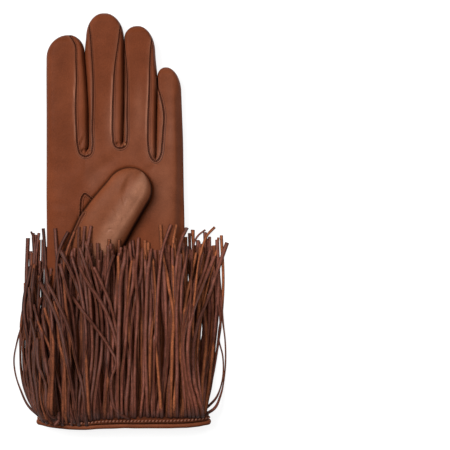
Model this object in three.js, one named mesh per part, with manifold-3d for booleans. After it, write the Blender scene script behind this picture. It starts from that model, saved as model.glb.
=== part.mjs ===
// A left-hand lambskin dress glove with a fringed cuff, lying palm up with its thumb folded over the palm.
// Units are millimetres. +Z is up, +Y runs from the cuff to the fingertips, +X from the index side
// to the little finger. The origin is the middle of the part's footprint, on the surface it lies on.
import * as THREE from "three";
import Module from "manifold-3d";

const wasm = await Module();
wasm.setup();

// Driving dimensions
const WALL = 1.2;
const SEAM_GAP = 0.3;
const PIECE_GAP = 0.4;
const CUFF_Y = -121.2;
const KNUCKLE_Y = 37.5;
const HAND_MID = 0.42;
const FINGER_ROOT_Y = 12;
const FINGER_MID = 0.4;
const ABOVE_ALL = 60;

// Corners of a section's ring, outside and inside the leather
const RING = { hand: 24, handInside: 16, finger: 16, fingerInside: 12, cuff: 32 };

// Shape exponents of a lying glove: how square the top and the resting side of a section are
const HAND_TOP = 3.4;
const HAND_REST = 6;
const FINGER_TOP = 2.5;
const FINGER_REST = 4.2;
const REST_PRESS = 1.06;

// Colours read from the leather, its flesh side and its rolled edge
const LEATHER = { color: 0x74402b, roughness: 0.5, metalness: 0 };
const GUSSET = { color: 0x6f3c28, roughness: 0.52, metalness: 0 };
const ROLLED = { color: 0x7a4029, roughness: 0.42, metalness: 0 };
const STRIPS = { color: 0x5c3226, roughness: 0.72, metalness: 0 };

// The hand from the cuff to the knuckles: side edges, underside and palm height
const HAND = [
  { y: -121.2, left: -48.4, right: 53.2, back: 3.4, palm: 14.4 },
  { y: -100, left: -47.2, right: 49.6, back: 2.4, palm: 14.9 },
  { y: -75, left: -45.6, right: 44.4, back: 1.7, palm: 15.0 },
  { y: -50, left: -44.4, right: 40.4, back: 1.6, palm: 14.8 },
  { y: -25, left: -43.9, right: 38.9, back: 1.6, palm: 14.4 },
  { y: 0, left: -44.2, right: 38.9, back: 1.5, palm: 14.0 },
  { y: 16, left: -44.4, right: 38.5, back: 0.5, palm: 13.5 },
  { y: 28, left: -44.4, right: 38.3, back: 0, palm: 12.7 },
  { y: 37.5, left: -44.2, right: 38.1, back: 0, palm: 11.4 },
];
const HAND_ROWS = [-121.2, -96, -72, -48, -24, 0, 10, 20, 28, 33, 37.5];

// Saddles of leather that join neighbouring fingers at the crotch
const WEBS = [
  { x: -19.7, y: 42.6, high: 10.4 },
  { x: 1.9, y: 46.8, high: 10.6 },
  { x: 21.9, y: 39.6, high: 9.8 },
];
const WEB_REACH = 3.6;
const WEB_FROM = 34;

// Each finger's tip, its rounding on either side and its thickness when lying
const FINGERS = [
  {
    name: "index",
    tip: { x: -30.9, y: 112.2, left: 13.8, right: 10.5, high: 9 },
    thick: 12.2,
    edges: [
      { y: 12, left: -44.1, right: -20.6 },
      { y: 50, left: -44.4, right: -19.2 },
      { y: 68, left: -44.4, right: -19.4 },
      { y: 87, left: -44.5, right: -20.5 },
      { y: 101, left: -44.4, right: -21.9 },
    ],
  },
  {
    name: "middle",
    tip: { x: -9.6, y: 125.4, left: 14, right: 15, high: 9 },
    thick: 12.8,
    edges: [
      { y: 12, left: -20.2, right: 1.0 },
      { y: 50, left: -18.5, right: 1.5 },
      { y: 68, left: -18.7, right: 2.0 },
      { y: 87, left: -19.8, right: 2.2 },
      { y: 110, left: -20.4, right: 2.0 },
    ],
  },
  {
    name: "ring",
    tip: { x: 10.5, y: 117.7, left: 8, right: 16, high: 9 },
    thick: 12.4,
    edges: [
      { y: 12, left: 1.4, right: 20.4 },
      { y: 50, left: 2.1, right: 21.5 },
      { y: 68, left: 2.6, right: 21.8 },
      { y: 87, left: 2.8, right: 22.0 },
      { y: 101, left: 2.8, right: 21.0 },
    ],
  },
  {
    name: "little",
    tip: { x: 27.6, y: 92.8, left: 6, right: 14, high: 8 },
    thick: 11.8,
    edges: [
      { y: 12, left: 20.8, right: 38.3 },
      { y: 50, left: 22.1, right: 38.0 },
      { y: 68, left: 22.5, right: 37.3 },
      { y: 79, left: 22.9, right: 36.8 },
      { y: 88, left: 22.7, right: 36.5 },
    ],
  },
];
const FINGER_ROWS = [0, 0.16, 0.3, 0.55, 0.78, 1];
const INSIDE_ROWS = [0, 0.16, 0.55, 1];
const TIP_ANGLES = [26, 47, 64, 78];
const INSIDE_ANGLES = [35, 66];

// The thumb in its own plan frame, along its length from the base to the tip
const THUMB_TURN = THREE.MathUtils.degToRad(56);
const THUMB_TIP = { along: 32, across: -5.4, left: 14, right: 13, high: 9 };
const THUMB_MID = 0.42;
const THUMB = [
  { along: -33, left: -17, right: 8, low: 5.4, high: 12.2 },
  { along: -22, left: -19.5, right: 10.4, low: 8.6, high: 19.2 },
  { along: -10, left: -21.3, right: 10.6, low: 12.6, high: 23.2 },
  { along: 2, left: -20.8, right: 9.3, low: 14.7, high: 24.6 },
  { along: 18, left: -18.9, right: 8.2, low: 14.5, high: 24.2 },
];
const THUMB_ROWS = [0, 0.2, 0.42, 0.66, 1];

// Seam lines of the finger gussets in plan, from the crotch to the tip
const GUSSET_SEAMS = [
  {
    name: "gusset_index_middle",
    rows: [
      { y: 38.5, left: -21.2, right: -19.4 },
      { y: 40.3, left: -23.5, right: -17.1 },
      { y: 44.4, left: -24.8, right: -16.1 },
      { y: 68.4, left: -26.0, right: -15.8 },
      { y: 88, left: -25.7, right: -15.9 },
      { y: 105, left: -26.8, right: -17.2 },
      { y: 118, left: -30.5, right: -18.4 },
    ],
  },
  {
    name: "gusset_middle_ring",
    rows: [
      { y: 43.5, left: -0.4, right: 1.2 },
      { y: 44.6, left: -2.2, right: 3.2 },
      { y: 48, left: -3.6, right: 4.5 },
      { y: 77, left: -3.5, right: 4.7 },
      { y: 98, left: -1.9, right: 3.7 },
      { y: 118, left: 0.9, right: 2.9 },
    ],
  },
  {
    name: "gusset_ring_little",
    rows: [
      { y: 35.7, left: 20.9, right: 22.6 },
      { y: 37.6, left: 19.4, right: 24.2 },
      { y: 43, left: 17.7, right: 25.6 },
      { y: 64, left: 17.5, right: 26.7 },
      { y: 76, left: 17.9, right: 24.6 },
      { y: 90, left: 18.2, right: 22.9 },
      { y: 112, left: 20.0, right: 22.9 },
    ],
  },
];

// The small gusset that shows beside the thumb's base
const QUIRK_SEAM = [
  { y: 0, left: -23.2, right: -12.5 },
  { y: 8, left: -23.1, right: -14.2 },
  { y: 12.4, left: -22.7, right: -17.2 },
  { y: 15.2, left: -21.8, right: -19.4 },
  { y: 16.2, left: -21.1, right: -20.2 },
];
const QUIRK_ABOVE = 9;

// Cuff trim: a rolled edge, a stitched band and the strip that the fringe is cut from
const PIPING_R = 1.9;
const PIPING_Y = -123.5;
const PIPING_SIDES = 6;
const PIPING_INSET = 0.6;
const HEADER = { from: -120.9, to: -112.5, thick: 1.0, gap: 0.3 };
const BAND = { from: -121.2, to: -115.8, thick: 1.2, gap: 1.6 };

// Fringe strips
const STRIP_THICK = 1.1;
const STRIP_WIDTH = 2.9;
const FRINGE_BASE_Y = -114.5;
const STRIP_STEPS = { back: 3, side: 6 };
const PALM_STATIONS = [0, 0.1, 0.33, 0.56, 0.78, 1];
const PALM_STATION_GAP = 0.23;
const FRINGE_REACH = 65.7;
const SIDE_DROP = 11;
const PALM_STRIP_FLOOR = 1.8;
const BACK_LAYER = { count: 26, width: 3.2, from: -45, to: 49, tipFrom: -60, tipTo: 61, tipY: -11, bow: 9, phase: 5 };


// The layer on the palm, in which every third strip stands on its edge
const PALM_LAYER = { count: 27, from: -46, to: 50, tipFrom: -58, tipTo: 60, tipY: -13, bow: 9, phase: 1 };
const EDGE_EVERY = 3;


// Strips heaped over that layer in this order, each sunk a little into those it lies on
const HEAP = [
  { base: -38, tip: -48, tipY: -37, bow: -3, onEdge: false },
  { base: -30, tip: -42, tipY: -36, bow: 2, onEdge: true },
  { base: -22, tip: -43, tipY: -38, bow: 2, onEdge: false },
  { base: -14, tip: -30, tipY: -44, bow: -2, onEdge: true },
  { base: -8, tip: -40, tipY: -44, bow: -1, onEdge: true },
  { base: 2, tip: -28, tipY: -40, bow: 3, onEdge: false },
  { base: -3, tip: -21, tipY: -24, bow: 3, onEdge: true },
  { base: 13, tip: 5, tipY: -12, bow: 1, onEdge: true },
  { base: 20, tip: 9, tipY: -22, bow: -1, onEdge: false },
  { base: 22, tip: 26, tipY: -8, bow: 2, onEdge: true },
  { base: 33, tip: 24, tipY: -5, bow: 2, onEdge: false },
  { base: 37, tip: 45, tipY: -16, bow: -1, onEdge: true },
  { base: 43, tip: 52, tipY: -20, bow: -6, onEdge: false },
  { base: 46, tip: 57, tipY: -21, bow: -10, onEdge: true },
  { base: 49, tip: 63, tipY: -14, bow: -14, onEdge: false },
  { base: 51, tip: 59, tipY: -26, bow: -14, onEdge: true },
  { base: 47, tip: 62, tipY: -24, bow: -11, onEdge: false },
];
const HEAP_SINK = 0.2;

// Faces of the joined strips that lie this close to one plane are merged
const EVENNESS = 0.01;
const SIDE_WIDTH = 2.6;

// Strips that bow out past the sides of the cuff
const SIDE_BOWS = [
  { side: "left", base: -48.6, bow: -65.7, bowY: -82, tip: -57, tipY: -36 },
  { side: "left", base: -48.4, bow: -60.5, bowY: -86, tip: -60.5, tipY: -24 },
  { side: "right", base: 52.6, bow: 63.6, bowY: -88, tip: 58.5, tipY: -26 },
  { side: "right", base: 52.2, bow: 60.2, bowY: -84, tip: 65.0, tipY: -11 },
];

// A value read from a table of rows by straight lines between them
function read(rows, key, value, at) {
  if (at <= rows[0][key]) return rows[0][value];
  for (let i = 1; i < rows.length; i++) {
    const low = rows[i - 1];
    const high = rows[i];
    if (at <= high[key]) {
      const share = (at - low[key]) / (high[key] - low[key]);
      return low[value] + share * (high[value] - low[value]);
    }
  }
  return rows[rows.length - 1][value];
}

// Height share of a rounded section at u, from -1 at its left edge to 1 at its right
function crown(u, exponent) {
  return Math.sqrt(Math.max(0, 1 - Math.abs(u) ** exponent));
}

// Heights of the top and of the resting side of a section at u
function sectionTop(section, u) {
  return section.mid + (section.high - section.mid) * crown(u, section.topShape);
}
function sectionRest(section, u) {
  const drop = REST_PRESS * (section.mid - section.low) * crown(u, section.restShape);
  return Math.max(section.low, section.mid - drop);
}

// One closed ring of points round a section; place turns (across, height) into a point
function sectionRing(section, count, place) {
  const half = count / 2;
  const centre = (section.left + section.right) / 2;
  const reach = (section.right - section.left) / 2;
  const ring = [];
  for (let i = 0; i < count; i++) {
    const onTop = i < half;
    const u = -Math.cos((Math.PI * (onTop ? i : count - i)) / half);
    const height = onTop ? sectionTop(section, u) : sectionRest(section, u);
    ring.push(place(centre + reach * u, height));
  }
  return ring;
}

// A closed solid through rings of points; a loop joins its last ring to its first
function loft(rings, loop = false) {
  const count = rings[0].length;
  const points = rings.flat();
  const faces = [];
  const spans = loop ? rings.length : rings.length - 1;
  for (let r = 0; r < spans; r++) {
    const here = r * count;
    const next = ((r + 1) % rings.length) * count;
    for (let i = 0; i < count; i++) {
      const j = (i + 1) % count;
      faces.push([here + i, here + j, next + j], [here + i, next + j, next + i]);
    }
  }
  if (!loop) {
    for (const [start, flip] of [
      [0, true],
      [(rings.length - 1) * count, false],
    ]) {
      const centre = new THREE.Vector3();
      for (let i = 0; i < count; i++) centre.addScaledVector(points[start + i], 1 / count);
      points.push(centre);
      for (let i = 0; i < count; i++) {
        const j = (i + 1) % count;
        const edge = flip ? [start + j, start + i] : [start + i, start + j];
        faces.push([...edge, points.length - 1]);
      }
    }
  }
  const made = solidFrom(points, faces);
  return made.volume() > 0 ? made : solidFrom(points, faces.map(([a, b, c]) => [a, c, b]));
}

function solidFrom(points, faces) {
  const vertProperties = new Float32Array(points.flatMap((p) => [p.x, p.y, p.z]));
  const triVerts = new Uint32Array(faces.flat());
  return new wasm.Manifold(new wasm.Mesh({ numProp: 3, vertProperties, triVerts }));
}

// An upright prism over a plan outline that runs anticlockwise
function prism(outline, from, to) {
  const flat = outline.map(([x, y]) => new THREE.Vector2(x, y));
  const count = flat.length;
  const points = [from, to].flatMap((z) => flat.map((p) => new THREE.Vector3(p.x, p.y, z)));
  const caps = THREE.ShapeUtils.triangulateShape(flat, []);
  const faces = caps.flatMap(([a, b, c]) => [
    [a, c, b],
    [a + count, b + count, c + count],
  ]);
  for (let i = 0; i < count; i++) {
    const j = (i + 1) % count;
    faces.push([i, j, j + count], [i, j + count, i + count]);
  }
  return solidFrom(points, faces);
}

// The hand
function handSection(y, inset) {
  const low = read(HAND, "y", "back", y) + inset;
  const high = read(HAND, "y", "palm", y) - inset;
  return {
    left: read(HAND, "y", "left", y) + inset,
    right: read(HAND, "y", "right", y) - inset,
    low,
    high,
    mid: low + HAND_MID * (high - low),
    topShape: HAND_TOP,
    restShape: HAND_REST,
  };
}

// The hand as one closed form
function handForm(inset, past = 0) {
  const stations = HAND_ROWS.map((y) => y);
  stations[0] -= past;
  stations[stations.length - 1] -= inset;
  const rings = stations.map((y) =>
    sectionRing(handSection(y, inset), inset > 0 ? RING.handInside : RING.hand, (x, z) => new THREE.Vector3(x, y, z)),
  );
  return loft(rings);
}

// The saddle between two fingers
function webForm(web) {
  const section = {
    left: web.x - WEB_REACH,
    right: web.x + WEB_REACH,
    low: 0.4,
    high: web.high,
    mid: web.high * HAND_MID,
    topShape: FINGER_TOP,
    restShape: FINGER_REST,
  };
  const rings = [WEB_FROM, web.y].map((y) =>
    sectionRing(section, 12, (x, z) => new THREE.Vector3(x, y, z)),
  );
  return loft(rings);
}

// A slice of the hand's form between two stations, for the pieces that wrap the cuff
function handSlice(from, to, inset) {
  const rings = [from, to].map((y) =>
    sectionRing(handSection(y, inset), RING.cuff, (x, z) => new THREE.Vector3(x, y, z)),
  );
  return loft(rings);
}

// The fingers
function tipShare(distance, length) {
  if (distance >= length) return 1;
  return Math.sqrt(Math.max(0, 1 - (1 - distance / length) ** 2));
}

function fingerSection(finger, y, inset) {
  const tip = finger.tip;
  const tipY = tip.y - inset;
  const left = read(finger.edges, "y", "left", y) + inset;
  const right = read(finger.edges, "y", "right", y) - inset;
  const high = finger.thick - inset;
  const rest = read(HAND, "y", "back", y) + inset;
  const mid = rest + FINGER_MID * (high - rest);
  const rounding = tipShare(tipY - y, tip.high);
  return {
    left: tip.x + (left - tip.x) * tipShare(tipY - y, tip.left),
    right: tip.x + (right - tip.x) * tipShare(tipY - y, tip.right),
    low: mid - (mid - rest) * rounding,
    high: mid + (high - mid) * rounding,
    mid,
    topShape: FINGER_TOP,
    restShape: FINGER_REST,
  };
}

function fingerForm(finger, inset) {
  const round = Math.max(finger.tip.left, finger.tip.right);
  const tipY = finger.tip.y - inset;
  const straight = tipY - round - FINGER_ROOT_Y;
  const rows = inset > 0 ? INSIDE_ROWS : FINGER_ROWS;
  const stations = rows.map((share) => FINGER_ROOT_Y + share * straight);
  for (const angle of inset > 0 ? INSIDE_ANGLES : TIP_ANGLES) {
    stations.push(tipY - round * (1 - Math.sin(THREE.MathUtils.degToRad(angle))));
  }
  const count = inset > 0 ? RING.fingerInside : RING.finger;
  const rings = stations.map((y) =>
    sectionRing(fingerSection(finger, y, inset), count, (x, z) => new THREE.Vector3(x, y, z)),
  );
  return loft(rings);
}

// The thumb
function thumbPlace(along, across, height) {
  const c = Math.cos(THUMB_TURN);
  const s = Math.sin(THUMB_TURN);
  return new THREE.Vector3(along * c + across * s, along * s - across * c, height);
}

function thumbSection(along, inset) {
  const tip = THUMB_TIP;
  const tipAlong = tip.along - inset;
  const low = read(THUMB, "along", "low", along) + inset;
  const high = read(THUMB, "along", "high", along) - inset;
  const mid = low + THUMB_MID * (high - low);
  const left = read(THUMB, "along", "left", along) + inset;
  const right = read(THUMB, "along", "right", along) - inset;
  const rounding = tipShare(tipAlong - along, tip.high);
  return {
    left: tip.across + (left - tip.across) * tipShare(tipAlong - along, tip.left),
    right: tip.across + (right - tip.across) * tipShare(tipAlong - along, tip.right),
    low: mid - (mid - low) * rounding,
    high: mid + (high - mid) * rounding,
    mid,
    topShape: FINGER_TOP,
    restShape: FINGER_REST,
  };
}

function thumbForm(inset, past = 0) {
  const base = THUMB[0].along;
  const tipAlong = THUMB_TIP.along - inset;
  const straight = tipAlong - THUMB_TIP.left - base;
  const stations = THUMB_ROWS.map((share) => base + share * straight);
  for (const angle of inset > 0 ? INSIDE_ANGLES : TIP_ANGLES) {
    stations.push(tipAlong - THUMB_TIP.left * (1 - Math.sin(THREE.MathUtils.degToRad(angle))));
  }
  if (past) stations[0] = base - past;
  const count = inset > 0 ? RING.fingerInside : RING.finger;
  const rings = stations.map((along) =>
    sectionRing(thumbSection(along, inset), count, (across, z) => thumbPlace(along, across, z)),
  );
  return loft(rings);
}

// Plan outline of a gusset or quirk from its seam table, grown by a margin
function seamOutline(rows, grow) {
  const upLeft = rows.map((row) => [row.left - grow, row.y]);
  const upRight = rows.map((row) => [row.right + grow, row.y]);
  upLeft[0][1] -= grow;
  upRight[0][1] -= grow;
  return [...upRight, ...upLeft.reverse()];
}

// Height of the highest leather under a point of the fringe, falling to the surface past the sides
function thumbTop(x, y) {
  const c = Math.cos(THUMB_TURN);
  const s = Math.sin(THUMB_TURN);
  const along = x * c + y * s;
  const across = x * s - y * c;
  if (along < THUMB[0].along || along > THUMB_TIP.along) return 0;
  const section = thumbSection(along, 0);
  const reach = (section.right - section.left) / 2;
  const u = (across - (section.left + section.right) / 2) / reach;
  return Math.abs(u) < 1 ? sectionTop(section, u) : 0;
}

function handTop(x, y) {
  const section = handSection(y, 0);
  const reach = (section.right - section.left) / 2;
  const u = (x - (section.left + section.right) / 2) / reach;
  if (Math.abs(u) < 1) return sectionTop(section, u);
  const outside = (Math.abs(u) - 1) * reach;
  return Math.max(PALM_STRIP_FLOOR, section.mid * (1 - outside / SIDE_DROP));
}

// A strip of leather along a route of points, flat side up unless it is made tall and narrow
function strip(route, width, tall = STRIP_THICK) {
  const rings = route.map((p, i) => {
    const before = route[Math.max(0, i - 1)];
    const after = route[Math.min(route.length - 1, i + 1)];
    const across = new THREE.Vector3(after.y - before.y, before.x - after.x, 0).setLength(width / 2);
    const corner = (side, level) =>
      new THREE.Vector3(p.x, p.y, p.z + level * tall).addScaledVector(across, side);
    return [corner(-1, 0), corner(-1, 1), corner(1, 1), corner(1, 0)];
  });
  return loft(rings);
}

// A repeatable spread of values from -1 to 1 for the fringe
function spread(index, phase) {
  const wave = Math.sin(index * 12.9898 + phase * 78.233) * 43758.5453;
  return 2 * (wave - Math.floor(wave)) - 1;
}

// The highest leather under a patch of the fringe, so that a straight run clears what it crosses
function clearHeight(x, y, length) {
  let highest = 0;
  for (const across of [-0.5, 0, 0.5]) {
    for (const along of [-1, -0.5, 0, 0.5, 1]) {
      const px = x + across * STRIP_WIDTH;
      const py = y + along * length;
      highest = Math.max(highest, handTop(px, py), thumbTop(px, py));
    }
  }
  return highest;
}

// Height of the pile's top under a patch as wide as a strip, and none where nothing lies there
function pileTop(pile, x, y) {
  const reach = STRIP_WIDTH / 2;
  const [left, right, near, far] = [x - reach, x + reach, y - reach, y + reach];
  const patch = prism([[left, near], [right, near], [right, far], [left, far]], 0, ABOVE_ALL);
  const under = pile.intersect(patch);
  return under.isEmpty() ? 0 : under.boundingBox().max[2];
}

// Plan route of a fringe strip from its base on the cuff to its tip, at shares of its length
function stripPlan(row, shares) {
  return shares.map((share) => {
    const x = row.base + (row.tip - row.base) * share + row.bow * Math.sin(Math.PI * share);
    return { share, x, y: FRINGE_BASE_Y + share * (row.tipY - FRINGE_BASE_Y) };
  });
}

// Strips side by side in one layer, each with its own length and bend
function layerRows(layer) {
  return Array.from({ length: layer.count }, (_, i) => {
    const share = i / (layer.count - 1);
    return {
      base: THREE.MathUtils.lerp(layer.from, layer.to, share),
      tip: THREE.MathUtils.lerp(layer.tipFrom, layer.tipTo, share) + 0.5 * spread(i, layer.phase),
      tipY: layer.tipY + 6 * spread(i, layer.phase + 1),
      bow: (share - 0.5) * layer.bow,
    };
  });
}

// A strip over the palm, flat or on its edge, which rests on the pile where one is given
function palmStrip(row, onEdge, pile = null) {
  const gap = (row.tipY - FRINGE_BASE_Y) * PALM_STATION_GAP;
  const route = stripPlan(row, PALM_STATIONS).map(({ share, x, y }) => {
    const overLeather = clearHeight(x, y, share ? gap : 0) + HEADER.gap;
    const overPile = pile && share ? pileTop(pile, x, y) - HEAP_SINK : 0;
    return new THREE.Vector3(x, y, Math.max(overLeather, overPile));
  });
  return onEdge ? strip(route, STRIP_THICK, STRIP_WIDTH) : strip(route, STRIP_WIDTH);
}

// All the strips that lie over the palm
function palmPile() {
  const layer = union(layerRows(PALM_LAYER).map((row, i) => palmStrip(row, i % EDGE_EVERY === 1)));
  return HEAP.reduce((pile, row) => pile.add(palmStrip(row, row.onEdge, pile)), layer);
}

function backStrip(row, width) {
  const shares = Array.from({ length: STRIP_STEPS.back + 1 }, (_, i) => i / STRIP_STEPS.back);
  const route = stripPlan(row, shares).map(({ share, x, y }) => {
    const underCuff = read(HAND, "y", "back", y) - HEADER.gap - HEADER.thick;
    return new THREE.Vector3(x, y, share ? 0 : underCuff);
  });
  return strip(route, width);
}

// A strip that leaves the side of the cuff and bows outward on the surface
function sideBow(row) {
  const level = handSection(FRINGE_BASE_Y, 0).mid;
  const out = Math.sign(row.base) * (HEADER.gap + 0.6);
  const curve = new THREE.CatmullRomCurve3([
    new THREE.Vector3(row.base + out, FRINGE_BASE_Y + 0.7, level),
    new THREE.Vector3(row.base + 3 * out, FRINGE_BASE_Y + 6, level * 0.6),
    new THREE.Vector3((row.base + 2 * row.bow) / 3, (FRINGE_BASE_Y + row.bowY) / 2, 2.8),
    new THREE.Vector3(row.bow, row.bowY, PALM_STRIP_FLOOR),
    new THREE.Vector3((row.bow + row.tip) / 2, (row.bowY + row.tipY) / 2, PALM_STRIP_FLOOR),
    new THREE.Vector3(row.tip, row.tipY, PALM_STRIP_FLOOR),
  ]);
  const limit = FRINGE_REACH - SIDE_WIDTH / 2;
  const route = curve.getPoints(STRIP_STEPS.side);
  for (const p of route) p.x = THREE.MathUtils.clamp(p.x, -limit, limit);
  return strip(route, SIDE_WIDTH);
}

function union(solids) {
  return solids.reduce((all, one) => all.add(one));
}

function largest(solid) {
  return solid.decompose().sort((a, b) => b.volume() - a.volume())[0];
}

// The rolled edge runs round the mouth of the cuff
function piping() {
  const path = sectionRing(
    handSection(CUFF_Y, PIPING_INSET),
    RING.cuff,
    (x, z) => new THREE.Vector3(x, PIPING_Y, z),
  );
  const rings = path.map((p, i) => {
    const before = path[(i + path.length - 1) % path.length];
    const after = path[(i + 1) % path.length];
    const outward = new THREE.Vector3(before.z - after.z, 0, after.x - before.x).normalize();
    const ring = [];
    for (let k = 0; k < PIPING_SIDES; k++) {
      const turn = (2 * Math.PI * (k + 0.5)) / PIPING_SIDES;
      const point = p.clone().addScaledVector(outward, PIPING_R * Math.cos(turn));
      point.y += PIPING_R * Math.sin(turn);
      ring.push(point);
    }
    return ring;
  });
  return loft(rings, true);
}

function collar(size) {
  const outer = handSlice(size.from, size.to, -size.gap - size.thick);
  return outer.subtract(handSlice(size.from - 2, size.to + 2, -size.gap));
}

// The half of the space above or below the cuff's middle line, where the two fringes part
function halfSpace(side) {
  const middle = handSection(FRINGE_BASE_Y, 0).mid;
  const [from, to] = side > 0 ? [middle, ABOVE_ALL] : [-ABOVE_ALL, middle - SEAM_GAP];
  const wide = 2 * FRINGE_REACH;
  return prism(
    [
      [-wide, -wide],
      [wide, -wide],
      [wide, wide],
      [-wide, wide],
    ],
    from,
    to,
  );
}

function meshOf(name, solid, finish) {
  const made = solid.getMesh();
  const position = new Float32Array(made.numVert * 3);
  for (let i = 0; i < made.numVert; i++) {
    const start = i * made.numProp;
    position.set(made.vertProperties.subarray(start, start + 3), i * 3);
  }
  const geometry = new THREE.BufferGeometry();
  geometry.setAttribute("position", new THREE.BufferAttribute(position, 3));
  geometry.setIndex(new THREE.BufferAttribute(made.triVerts, 1));
  geometry.computeVertexNormals();
  const mesh = new THREE.Mesh(geometry, new THREE.MeshStandardMaterial(finish));
  mesh.name = name;
  return mesh;
}

// Whole shell of the hand and four fingers, open at the cuff
const outside = union([
  handForm(0),
  ...WEBS.map(webForm),
  ...FINGERS.map((finger) => fingerForm(finger, 0)),
]);
const inside = union([handForm(WALL, 4), ...FINGERS.map((finger) => fingerForm(finger, WALL))]);
const shell = outside.subtract(inside);

// Thumb, open at its base into the hand
const thumbOutside = thumbForm(0);
const thumb = thumbOutside.subtract(thumbForm(WALL, 3));

// Panels cut from the shell along the seams
const gussets = GUSSET_SEAMS.map(({ name, rows }) => ({
  name,
  solid: largest(shell.intersect(prism(seamOutline(rows, 0), -1, ABOVE_ALL))),
}));
const thumbRoom = thumbForm(-PIECE_GAP, 1);
const quirk = largest(
  shell.intersect(prism(seamOutline(QUIRK_SEAM, 0), QUIRK_ABOVE, ABOVE_ALL)).subtract(thumbRoom),
);
const seams = [
  ...GUSSET_SEAMS.map(({ rows }) => prism(seamOutline(rows, SEAM_GAP), -1, ABOVE_ALL)),
  prism(seamOutline(QUIRK_SEAM, SEAM_GAP), QUIRK_ABOVE - SEAM_GAP, ABOVE_ALL),
  thumbRoom,
];
const trank = largest(seams.reduce((left, cut) => left.subtract(cut), shell));

// Fringe: two cut strips of leather, one on each side of the cuff
const header = collar(HEADER);
const headerRoom = handSlice(HEADER.from - 1, HEADER.to + PIECE_GAP, -2 * HEADER.gap - HEADER.thick);
const cuffRoom = handForm(-HEADER.gap).add(headerRoom.intersect(halfSpace(-1)));
const upperHeader = header.intersect(halfSpace(1));
const lowerHeader = header.intersect(halfSpace(-1));
const fringePalm = largest(
  union([
    upperHeader,
    palmPile().simplify(EVENNESS),
    ...SIDE_BOWS.map((row) => sideBow(row).subtract(cuffRoom)),
  ]),
);
const fringeBack = largest(
  union([lowerHeader, ...layerRows(BACK_LAYER).map((row) => backStrip(row, BACK_LAYER.width))]),
);

const glove = new THREE.Group();
glove.add(
  meshOf("trank", trank, LEATHER),
  ...gussets.map(({ name, solid }) => meshOf(name, solid, GUSSET)),
  meshOf("thumb", thumb, LEATHER),
  meshOf("thumb_quirk", quirk, GUSSET),
  meshOf("cuff_band", collar(BAND), ROLLED),
  meshOf("cuff_piping", piping(), ROLLED),
  meshOf("fringe_palm_side", fringePalm, STRIPS),
  meshOf("fringe_back_side", fringeBack, STRIPS),
);

export default glove;
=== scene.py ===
"""Dress the fringed lambskin glove: grained leather, sewn seams, rolled cuff and cut fringe.

Lengths in the tables are millimetres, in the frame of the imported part: +X towards the little finger,
+Y towards the fingertips and +Z up out of the palm.
"""

import logging
import math
from dataclasses import dataclass, replace
from enum import Enum
from typing import Iterable, Sequence

import bpy
import numpy as np
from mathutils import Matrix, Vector
from mathutils.bvhtree import BVHTree


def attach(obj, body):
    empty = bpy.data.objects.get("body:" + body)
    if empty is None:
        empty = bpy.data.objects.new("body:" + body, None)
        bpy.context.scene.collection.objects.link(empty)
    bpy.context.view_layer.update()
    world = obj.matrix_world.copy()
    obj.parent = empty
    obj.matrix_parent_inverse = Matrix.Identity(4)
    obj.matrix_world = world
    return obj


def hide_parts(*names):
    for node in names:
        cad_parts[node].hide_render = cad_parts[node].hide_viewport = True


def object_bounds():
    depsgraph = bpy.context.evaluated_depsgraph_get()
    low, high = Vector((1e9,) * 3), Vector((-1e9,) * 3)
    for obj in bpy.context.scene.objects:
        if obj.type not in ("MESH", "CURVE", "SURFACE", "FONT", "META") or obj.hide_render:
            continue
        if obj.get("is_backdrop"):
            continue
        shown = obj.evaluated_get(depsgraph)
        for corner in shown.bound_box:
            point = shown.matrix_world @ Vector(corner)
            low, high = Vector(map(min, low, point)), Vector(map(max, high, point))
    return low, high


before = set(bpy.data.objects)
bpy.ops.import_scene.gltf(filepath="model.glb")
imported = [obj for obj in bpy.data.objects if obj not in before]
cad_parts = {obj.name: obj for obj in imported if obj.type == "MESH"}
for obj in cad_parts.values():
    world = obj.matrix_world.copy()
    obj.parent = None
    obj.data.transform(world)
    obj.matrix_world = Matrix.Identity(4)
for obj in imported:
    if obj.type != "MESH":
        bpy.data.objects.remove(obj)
CAD_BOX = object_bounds()

MM = 0.001
BODY = "root"
LOG = logging.getLogger("glove")

Array = np.ndarray
Colour = tuple[float, float, float, float]
Span = tuple[float, float]
Material = bpy.types.Material
Socket = bpy.types.NodeSocket

# A length too short to divide by, one longer than the glove, and the seam distance of unsewn leather
TINY = 1e-9
FAR = 1e6
UNSEWN = 9.0

# Heights from which the glove is looked down on and up at
ABOVE = 80.0
BELOW = -20.0

# Steps of a drawn curve between two of the points that it passes
CURVE_STEPS = 16


class Face(Enum):
    """Which side of a cut strip lies upward."""

    GRAIN = "grain"
    FLESH = "flesh"


class Slot(Enum):
    """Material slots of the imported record."""

    GLOVE = "glove_leather"
    GUSSET = "gusset_leather"
    CUFF = "cuff_leather"
    FRINGE = "fringe_leather"


# Small mathematics


def smoothstep(low: float | Array, high: float | Array, value: Array) -> Array:
    """Smooth share from 0 at low to 1 at high."""
    share = np.clip((value - low) / (high - low), 0.0, 1.0)
    return share * share * (3.0 - 2.0 * share)


def mix(first: Array, second: Array, share: Array) -> Array:
    """Blend of two values by a share of the second."""
    return first + (second - first) * share


def crown(across: Array, exponent: float | Array) -> Array:
    """Height share of a rounded section at a place across it, from -1 to 1."""
    return np.sqrt(np.clip(1.0 - np.abs(across) ** exponent, 0.0, 1.0))


def tip_share(distance: Array, length: float) -> Array:
    """Width share of a round end at a distance from its tip."""
    return np.sqrt(np.clip(1.0 - np.clip(1.0 - distance / length, 0.0, 1.0) ** 2, 0.0, 1.0))


def unit(vectors: Array) -> Array:
    """Rows of vectors scaled to length one."""
    return vectors / np.maximum(np.linalg.norm(vectors, axis=-1, keepdims=True), TINY)


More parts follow.
